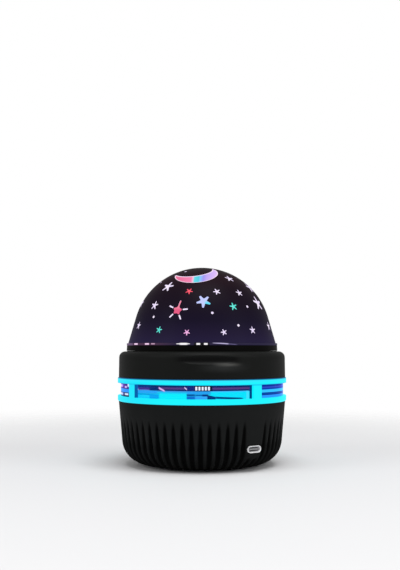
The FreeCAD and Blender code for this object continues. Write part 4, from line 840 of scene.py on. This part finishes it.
flange_section = [
    (flange_radius - flange_round, flange_under),
    (flange_radius - flange_corner, flange_under + flange_corner),
    (flange_radius, flange_under + flange_round), (flange_radius, flange_top - flange_round),
    (flange_radius - flange_corner, flange_top - flange_corner),
    (flange_radius - flange_round, flange_top),
]
clear_section = dome_side(clear_inner, flange_under, 6, 30)[::-1] + flange_section
clear_shape = turned(clear_section + dome_side(clear_outer, flange_top, 6, 30), steps=240, closed=False)
clear_dome = new_piece("clear_inner_dome", clear_shape, "turntable", "clear_dome")
dress(clear_dome, clear_moulding(
    "clear_dome", (0.16, 0.12, 0.2, 1), (0.13, 0.1, 0.17, 1), roughness=0.2, index=1.15))
# Painted light on the flange: purple and pink glow, white painted highlights, a dark gap and a lilac painted
# reflection.
flange_painted_light = layered_glow_group("flange_painted_light", (33, 26, 58), [
    ((70, 42, 70), -130, 24, 14, 70, 72.2, 0.15),
    ((100, 78, 112), -130, -10.5, 3, 70, 72.2, 0.15),
    ((255, 219, 252), -7.6, -2.6, 0.4, 70.75, 71.55, 0.15),
    ((255, 215, 248), 6.4, 10.6, 0.4, 70.75, 71.55, 0.15),
    ((200, 160, 190), 12.8, 16.2, 0.4, 70.9, 71.5, 0.15),
    ((255, 252, 255), 36.2, 41.6, 1.2, 70.6, 71.65, 0.15),
    ((255, 252, 255), 33.8, 43.4, 0.5, 70.95, 71.35, 0.15),
    ((4, 2, 12), 46.4, 57.2, 0.4, 70, 72.2, 0.15),
    ((255, 252, 255), 48.1, 50.7, 0.3, 70.6, 71.55, 0.15),
    ((255, 252, 255), 53.4, 55.9, 0.3, 70.6, 71.55, 0.15),
    ((190, 180, 220), 59.6, 71, 1, 74.55, 75.1, 0.15, -0.052),
    ((100, 92, 136), 71, 77, 1.5, 74.6, 75, 0.15, -0.052),
])
clear_dome.data.materials.append(lit("flange_edge", flange_painted_light, (0.01, 0.01, 0.01, 1), 0.4, specular=0.05))
for face in clear_dome.data.polygons:
    if face.center.xy.length > (flange_radius - flange_round - 0.01) * mm:
        face.material_index = 1


# Star mask. A thin dark shell in tinted gloss plastic, moulded with its star openings, that
# drops over the clear dome. Its tint is painted reflection, and the walls of the openings
# carry painted glow for the lamp's light.
mask_outer = 40.9
mask_inner = 39.5
mask_foot = 71.8
front_turn = 52
star_rays = 5
ray_step = 360 / star_rays
star_waist = 0.33
wide_waist = 0.42
star_tip = 0.12
star_round = 0.1
corner_parts = 4
stars = [
    (-40.9, 0.717, 0.094, 9.6), (14.8, 0.639, 0.053, 38.9), (40.9, 0.826, 0.07, 11.8),
    (40.1, 0.633, 0.055, 19.4), (72, 0.724, 0.1, 20), (-46.4, 0.474, 0.066, 13.1),
    (-79, 0.523, 0.075, 18), (62.8, 0.513, 0.113, 18.4), (-63, 0.223, 0.056, 12),
    (16.6, 0.128, 0.044, 36.1), (42.8, 0.158, 0.053, 18), (71, 0.217, 0.063, 18),
    (27.8, 0.451, 0.058, 28.5), (-35, 0.16, 0.049, 6.8), (-12.8, 0.645, 0.053, 60.1),
    (-11.4, 0.126, 0.044, 54.7),
]
wide_star = (1.4, 0.512, 0.098, 48.6)
dots = [(8.4, 0.367), (43.2, 0.457), (-43.6, 0.326), (29.6, 0.215), (-36.2, 0.926), (-67.6, 0.793)]
dot_radius = 0.0175
sun_place = (-20.8, 0.403)
sun_first_ray = 7.3
sun_arm = 1
sun_core = 0.0625
sun_waist = 0.72
ray_start = 0.075
ray_end = 0.1475
ray_half = 0.0105
moon_turn = -5
moon_rise = 58
moon_outer = (-0.045, 0.12, 0.305)
moon_inner = (-0.09, 0.245, 0.2625)
moon_tip = 0.011
moon_rim = (0.35, 0.6)
punch_reach = 7
wall_facing = 0.97
edge_facing = 0.8
edge_foot = 0.3


def surface_frame(turn, rise, across, level):
    """A flat frame on the mask that looks outward, given in degrees and millimetres."""
    outward, upward = polar(1, rise)
    flat = Matrix((
        (0, -upward, outward, across * mm), (1, 0, 0, 0), (0, outward, upward, level * mm), (0, 0, 0, 1),
    ))
    return Matrix.Rotation(math.radians(front_turn + turn), 4, "Z") @ flat


def mask_frame(turn, share):
    """The frame of the mask's surface at a share of its height."""
    lean = math.radians(dome_draft)
    level = mask_foot + (dome_centre + mask_outer - mask_foot) * share
    side_top = dome_centre + mask_outer * math.sin(lean)
    if level <= side_top:
        across = mask_outer * math.cos(lean) + (side_top - level) * math.tan(lean)
        return surface_frame(turn, dome_draft, across, level)
    rise = math.asin((level - dome_centre) / mask_outer)
    return surface_frame(turn, math.degrees(rise), mask_outer * math.cos(rise), level)


def round_corners(corners, radius):
    """A flat outline with every corner rounded, in shares of the mask's radius."""
    points = []
    for number, corner in enumerate(corners):
        back = (corners[number - 1] - corner).normalized()
        ahead = (corners[(number + 1) % len(corners)] - corner).normalized()
        half = back.angle(ahead) / 2
        middle = corner + (back + ahead).normalized() * (radius / math.sin(half))
        start = corner + back * (radius / math.tan(half)) - middle
        end = corner + ahead * (radius / math.tan(half)) - middle
        swing = start.angle_signed(end)
        for part in range(corner_parts + 1):
            arm = start.copy()
            arm.rotate(Matrix.Rotation(-swing * part / corner_parts, 2))
            points.append(middle + arm)
    return points


def ray_point(radius, turn):
    """A flat point at a radius and a turn in degrees."""
    return Vector(polar(radius, turn))


def star_outline(radius, first_ray, waist):
    """A star with blunt rays and rounded corners."""
    corners = []
    for ray in range(star_rays):
        turn = first_ray + ray_step * ray
        tip = ray_point(radius, turn)
        beside = ray_point(radius * star_tip, turn + 90)
        corners += [tip - beside, tip + beside, ray_point(radius * waist, turn + ray_step / 2)]
    return round_corners(corners, radius * star_round)


def slot_outline(start, turn):
    """A straight slot with round ends that points away from the middle."""
    points = []
    for end, first in ((ray_end - ray_half, -90), (start + ray_half, 90)):
        centre = ray_point(end, turn)
        points += [centre + ray_point(ray_half, turn + first + 22.5 * part) for part in range(9)]
    return points


def crescent_outline():
    """What the outer circle leaves beyond the inner one, with small round tips."""
    outer_centre, outer_radius = Vector(moon_outer[:2]), moon_outer[2] - moon_tip
    inner_centre, inner_radius = Vector(moon_inner[:2]), moon_inner[2] + moon_tip
    between = inner_centre - outer_centre
    reach = (between.length_squared + outer_radius ** 2 - inner_radius ** 2) / (2 * between.length)
    spread = math.sqrt(outer_radius ** 2 - reach ** 2)
    axis = between.normalized()
    right, left = [outer_centre + axis * reach + Vector((axis.y, -axis.x)) * side
                   for side in (spread, -spread)]

    def arc(centre, radius, start, end, parts):
        return [centre + ray_point(radius, start + (end - start) * part / parts)
                for part in range(parts + 1)]

    def turns_of_tips(centre):
        first, last = [math.degrees(math.atan2(tip.y - centre.y, tip.x - centre.x)) for tip in (left, right)]
        return first - 360 if first > last else first, last

    outer_left, outer_right = turns_of_tips(outer_centre)
    inner_left, inner_right = turns_of_tips(inner_centre)
    points = arc(outer_centre, moon_outer[2], outer_left, outer_right, 48)
    points += arc(right, moon_tip, outer_right, inner_right + 180, 6)[1:-1]
    points += arc(inner_centre, moon_inner[2], inner_right, inner_left, 48)
    points += arc(left, moon_tip, inner_left + 180, outer_left + 360, 6)[1:-1]
    return points


def punch(shape, frame_of_cut, outline):
    """Adds a straight prism through the mask's wall with the given outline."""
    corners = [shape.verts.new((point.x * mask_outer * mm, point.y * mask_outer * mm, -punch_reach * mm))
               for point in outline]
    lifted = bmesh.ops.extrude_face_region(shape, geom=[shape.faces.new(corners)])["geom"]
    raised = [item for item in lifted if isinstance(item, bmesh.types.BMVert)]
    bmesh.ops.translate(shape, verts=raised, vec=(0, 0, 2 * punch_reach * mm))
    bmesh.ops.transform(shape, verts=corners + raised, matrix=frame_of_cut)


mask_section = dome_side(mask_inner, mask_foot, 6, 40)[::-1] + dome_side(mask_outer, mask_foot, 10, 72)
mask = new_piece("star_mask", turned(mask_section, steps=288, closed=False), "star_cap", "dome_shell")
moon_level, moon_upright = polar(1, moon_rise)
moon_place = (mask_outer * moon_level, dome_centre + mask_outer * moon_upright)
dot_outline = [ray_point(dot_radius, 15 * part) for part in range(24)]
punches = bmesh.new()
arm_punches = bmesh.new()
for side in (0, 180):
    for turn, share, radius, first_ray in stars:
        punch(punches, mask_frame(turn + side, share), star_outline(radius, first_ray, star_waist))
    turn, share, radius, first_ray = wide_star
    punch(punches, mask_frame(turn + side, share), star_outline(radius, first_ray, wide_waist))
    for turn, share in dots:
        punch(punches, mask_frame(turn + side, share), dot_outline)
    sun_frame = mask_frame(sun_place[0] + side, sun_place[1])
    punch(punches, sun_frame, star_outline(sun_core, sun_first_ray, sun_waist))
    for ray in range(star_rays):
        if ray != sun_arm:
            punch(punches, sun_frame, slot_outline(ray_start, sun_first_ray + ray_step * ray))
    punch(arm_punches, sun_frame, slot_outline(0, sun_first_ray + ray_step * sun_arm))
    punch(punches, surface_frame(moon_turn + side, moon_rise, *moon_place), crescent_outline())
for cutter in (punches, arm_punches):
    bmesh.ops.recalc_face_normals(cutter, faces=cutter.faces)
    carve(mask, cutter)


def dome_outward(point):
    """The outward direction of the dome's surface through a point."""
    across = math.hypot(point.x, point.y)
    if across < 0.01 * mm:
        return Vector((0, 0, 1))
    rise = max(math.atan2(point.z - dome_centre * mm, across), math.radians(dome_draft))
    return Vector((point.x / across * math.cos(rise), point.y / across * math.cos(rise), math.sin(rise)))


def true_normals(mesh):
    """Gives the dome's curved faces the normals of the true surface, so that cuts leave no marks."""
    normals = [Vector(corner.vector) for corner in mesh.corner_normals]
    for face in mesh.polygons:
        facing = face.normal.dot(dome_outward(face.center))
        if abs(facing) > wall_facing:
            side = 1 if facing > 0 else -1
            for loop in face.loop_indices:
                normals[loop] = dome_outward(mesh.vertices[mesh.loops[loop].vertex_index].co) * side
    mesh.normals_split_custom_set(normals)


true_normals(mask.data)


def mask_painted_reflection_group():
    """Painted reflection on the mask: warm near the top, violet in the middle, dark at the rim."""
    tree, _ = open_group("mask_painted_reflection")
    place = object_place(tree)
    level = add(tree, "SeparateXYZ", {"Vector": place}).outputs["Z"]
    share = remap(tree, level, mask_foot * mm, (dome_centre + mask_outer) * mm)
    return close_group(tree, {
        "Colour": colour_ramp(tree, share, [
            (0, (34, 27, 58)), (0.1, (30, 22, 50)), (0.27, (21, 14, 36)), (0.46, (22, 13, 29)),
            (0.65, (24, 11, 25)), (0.83, (32, 10, 22)), (1, (26, 16, 20)),
        ]),
        "Roughness": calculate(tree, "MULTIPLY_ADD", noise(tree, place, scale=40), 0.12, 0.4),
    })


# The mask's colour is painted reflection, given as emission over a near-black base.
mask_gloss, mask_tree, mask_shader = plain_material("mask_gloss")
mask_painted_reflection = use_group(mask_tree, mask_painted_reflection_group())
feed(mask_tree, mask_shader, {
    "Emission Color": mask_painted_reflection["Colour"], "Emission Strength": 1, "Base Color": (0.001, 0.001, 0.001, 1),
    "Roughness": mask_painted_reflection["Roughness"], "IOR": 1.15, "Specular IOR Level": 0.3,
})
dress(mask, mask_gloss)
# Painted glow on the walls of the openings, standing for the lamp's light, in the colours of the nearby
# films.
edge_rows = [
    ((80, 215, 200), 75, 85, 89, 95), ((80, 215, 200), 13, 21, 76, 82),
    ((210, 54, 82), 33, 46, 97.5, 104), ((232, 160, 220), 36.5, 44.7, 75, 80),
    ((178, 196, 250), 46, 61, 90.5, 99), ((226, 80, 124), 27.5, 34.8, 87, 92.4),
]
edge_painted_glow = layered_glow_group("opening_edges", (222, 204, 240), [
    (colour, turn_low - back, turn_high - back, 0.5, low, high, 0.5)
    for colour, turn_low, turn_high, low, high in edge_rows for back in (0, 180)
])
mask.data.materials.append(lit("lit_opening_edges", edge_painted_glow))
for face in mask.data.polygons:
    upright = abs(face.normal.dot(dome_outward(face.center))) < edge_facing
    face.material_index = 1 if upright and face.center.z > (mask_foot + edge_foot) * mm else 0


# Star windows. Small pieces of printed film behind the openings, lit from inside by the
# lamp: white and lilac stars, a few in teal and red, a wide blue star, the sun and the
# crescent.
def lit_film(name, middle, fringe):
    """Film with a slightly uneven light that drifts between two screen colours."""
    tree, _ = open_group(name + "_drift")
    drift = remap(tree, noise(tree, object_place(tree), scale=260), 0.35, 0.65)
    close_group(tree, {"Colour": blend(tree, drift, linear(*middle), linear(*fringe))})
    return lit(name, tree, roughness=0.5, specular=0.2)


dress("star_windows_white", lit_film("film_white", (250, 240, 255), (230, 216, 250)))
dress("star_windows_teal", lit_film("film_teal", (116, 242, 224), (66, 218, 206)))
dress("star_windows_red", lit_film("film_red", (250, 76, 100), (222, 44, 84)))
dress("star_windows_lilac", lit_film("film_lilac", (252, 190, 232), (228, 160, 222)))
wide_blue = layered_glow_group("wide_star", (186, 196, 250), [
    ((60, 214, 238), 54.6 - back, 70 - back, 1.2, 80, 94.6, 1) for back in (0, 180)
])
dress("star_windows_blue", lit("film_blue", wide_blue))
sun_pink = layered_glow_group("sun_pink", (226, 70, 120), [
    ((236, 120, 150), -180, 180, 1, 90.6, 98, 1),
])
dress("sun_window", lit("film_pink", sun_pink))


def moon_glow_group():
    """The crescent's print: pink to cyan to lavender across its width, with a pale rim."""
    tree, _ = open_group("moon_print")
    place = object_place(tree)
    ahead, aside = polar(1, front_turn + moon_turn)
    outward = measure(tree, place, "DOT_PRODUCT", (ahead, aside, 0))
    sideways = measure(tree, place, "DOT_PRODUCT", (-aside, ahead, 0))
    across = calculate(tree, "MULTIPLY", sideways, calculate(tree, "SIGN", outward))
    stops = [
        (-14, (224, 96, 140)), (-4, (240, 120, 170)), (-3, (246, 190, 220)), (-2.2, (80, 214, 226)),
        (0.2, (50, 200, 222)), (1.2, (130, 190, 250)), (2.9, (150, 140, 236)), (5, (190, 160, 240)),
        (10.5, (222, 184, 244)),
    ]
    first, last = stops[0][0], stops[-1][0]
    print_colour = colour_ramp(tree, remap(tree, across, first * mm, last * mm), [
        ((stop - first) / (last - first), colour) for stop, colour in stops])
    level = calculate(tree, "SUBTRACT", measure(tree, place, "DOT_PRODUCT", (0, 0, moon_level)),
                      dome_centre * mm * moon_level)
    upward = calculate(tree, "MULTIPLY_ADD", calculate(tree, "ABSOLUTE", outward), -moon_upright, level)
    flat = add(tree, "CombineXYZ", {"X": across, "Y": upward}).outputs["Vector"]
    edges = []
    for (right, up, radius), side in ((moon_outer, -1), (moon_inner, 1)):
        centre = (right * mask_outer * mm, up * mask_outer * mm, 0)
        near, far = ((radius * mask_outer + side * rim) * mm for rim in moon_rim)
        edges.append(remap(tree, measure(tree, flat, "DISTANCE", centre), far, near))
    rim = calculate(tree, "MAXIMUM", *edges)
    return close_group(tree, {"Colour": blend(tree, rim, print_colour, linear(255, 232, 250))})


dress("moon_window", lit("film_moon", moon_glow_group()))


# Turntable and drive. Pale acetal gears and washers, a dark turntable, a brass bush, and a
# small can motor with its gearbox, held by screws.
acetal = moulded("acetal", (226, 226, 220), (214, 214, 206), 0.4, grain_scale=1600)
black_part = moulded("black_part", (30, 30, 30), (40, 40, 40), 0.55)
for node in ("ring_gear", "drive_pinion", "thrust_washer"):
    dress(node, acetal)
dress("turntable", moulded("dark_nylon", (40, 40, 46), (48, 48, 54), 0.6))
for node in ("gearbox", "board_parts", "button_switches"):
    dress(node, black_part)
dress("turntable_bush", metal("turned_brass", (206, 172, 96), (176, 140, 70), 0.3))
for node in ("gear_motor", "motor_shaft", "motor_screws", "base_screws", "case_screws", "collar_screws",
             "pillar_screws", "lamp_screws", "retaining_clip"):
    dress(node, steel)


# Lamp and pillar. A cast aluminium pillar and heat sink carry a white board with four
# bright chips at the dome's centre.
cast_metal = metal("cast_aluminium", (190, 192, 196), (165, 168, 172), 0.42)
dress("lamp_pillar", cast_metal)
dress("heat_sink", cast_metal)
dress("star_led_board", moulded("board_white", (224, 224, 222), (214, 214, 210), 0.5))
lamp_glow = layered_glow_group("lamp_white", (255, 246, 226), [
    ((255, 252, 240), -180, 180, 1, 0, 76.2, 0.2),
])
dress("star_leds", lit("lamp_light", lamp_glow, (0.1, 0.1, 0.1, 1)))


# Cell and boards. A wrapped lithium cell in the base fence and two green fibreglass boards.
dress("battery_cell", moulded("cell_wrap", (164, 168, 176), (150, 154, 164), 0.35, grain_scale=700))
board_green = moulded("board_green", (24, 84, 54), (30, 96, 60), 0.4, grain_scale=900)
dress("main_board", board_green)
dress("button_board", board_green)


# Floor and background. A plain pale floor that fades softly into a white background.
floor_fade = (0.12, 0.5)
floor_gap = 0.05
floor_shape = bmesh.new()
bmesh.ops.create_grid(floor_shape, x_segments=1, y_segments=1, size=1)
bmesh.ops.translate(floor_shape, verts=floor_shape.verts, vec=(0, 0, cad_box[0][2] - floor_gap * mm))
floor = new_piece("floor", floor_shape)
floor_material, floor_tree, floor_shader = plain_material("pale_floor")
floor_place = object_place(floor_tree)
floor_reach = measure(floor_tree, floor_place, "DISTANCE", (0, 0, 0))
floor_cloud = noise(floor_tree, floor_place, scale=3)
feed(floor_tree, floor_shader, {
    "Base Color": blend(floor_tree, floor_cloud, (0.8, 0.8, 0.81, 1), (0.78, 0.78, 0.79, 1)),
    "Alpha": remap(floor_tree, floor_reach, *floor_fade, 1, 0, "SMOOTHSTEP"),
    "Roughness": 0.7, "Specular IOR Level": 0.2,
})
dress(floor, floor_material)


# Light. A wide soft box overhead and two at the sides, in an even studio room. The camera
# and rays through clear plastic see a white background.
aim_height = 0.06


def soft_box(name, place, size, power):
    """A soft square light that looks at the middle of the object."""
    light = bpy.data.lights.new(name, "AREA")
    light.shape = "RECTANGLE"
    light.size = light.size_y = size
    light.energy = power
    shown = bpy.data.objects.new(name, light)
    bpy.context.collection.objects.link(shown)
    shown.location = place
    aim = Vector((0, 0, aim_height)) - Vector(place)
    shown.rotation_euler = aim.to_track_quat("-Z", "Y").to_euler()


def around(turn, reach, height):
    """A place at a turn from the camera's side, in degrees and metres."""
    return (*polar(reach, turn + camera_turn), height)


soft_box("top", around(20, 0.35, 1.2), 0.8, 10)
soft_box("left", around(-60, 1.1, 0.6), 0.6, 3)
soft_box("right", around(60, 1.1, 0.6), 0.6, 3)
world = bpy.data.worlds.new("studio")
bpy.context.scene.world = world
world.use_nodes = True
room = world.node_tree
rays = add(room, "LightPath").outputs
seen = calculate(room, "MAXIMUM", rays["Is Camera Ray"], rays["Is Transmission Ray"])
feed(room, room.nodes["Background"], {"Color": (1, 1, 1, 1), "Strength": remap(room, seen, 0, 1, 0.4, 1)})
bpy.context.scene.view_settings.view_transform = "Standard"
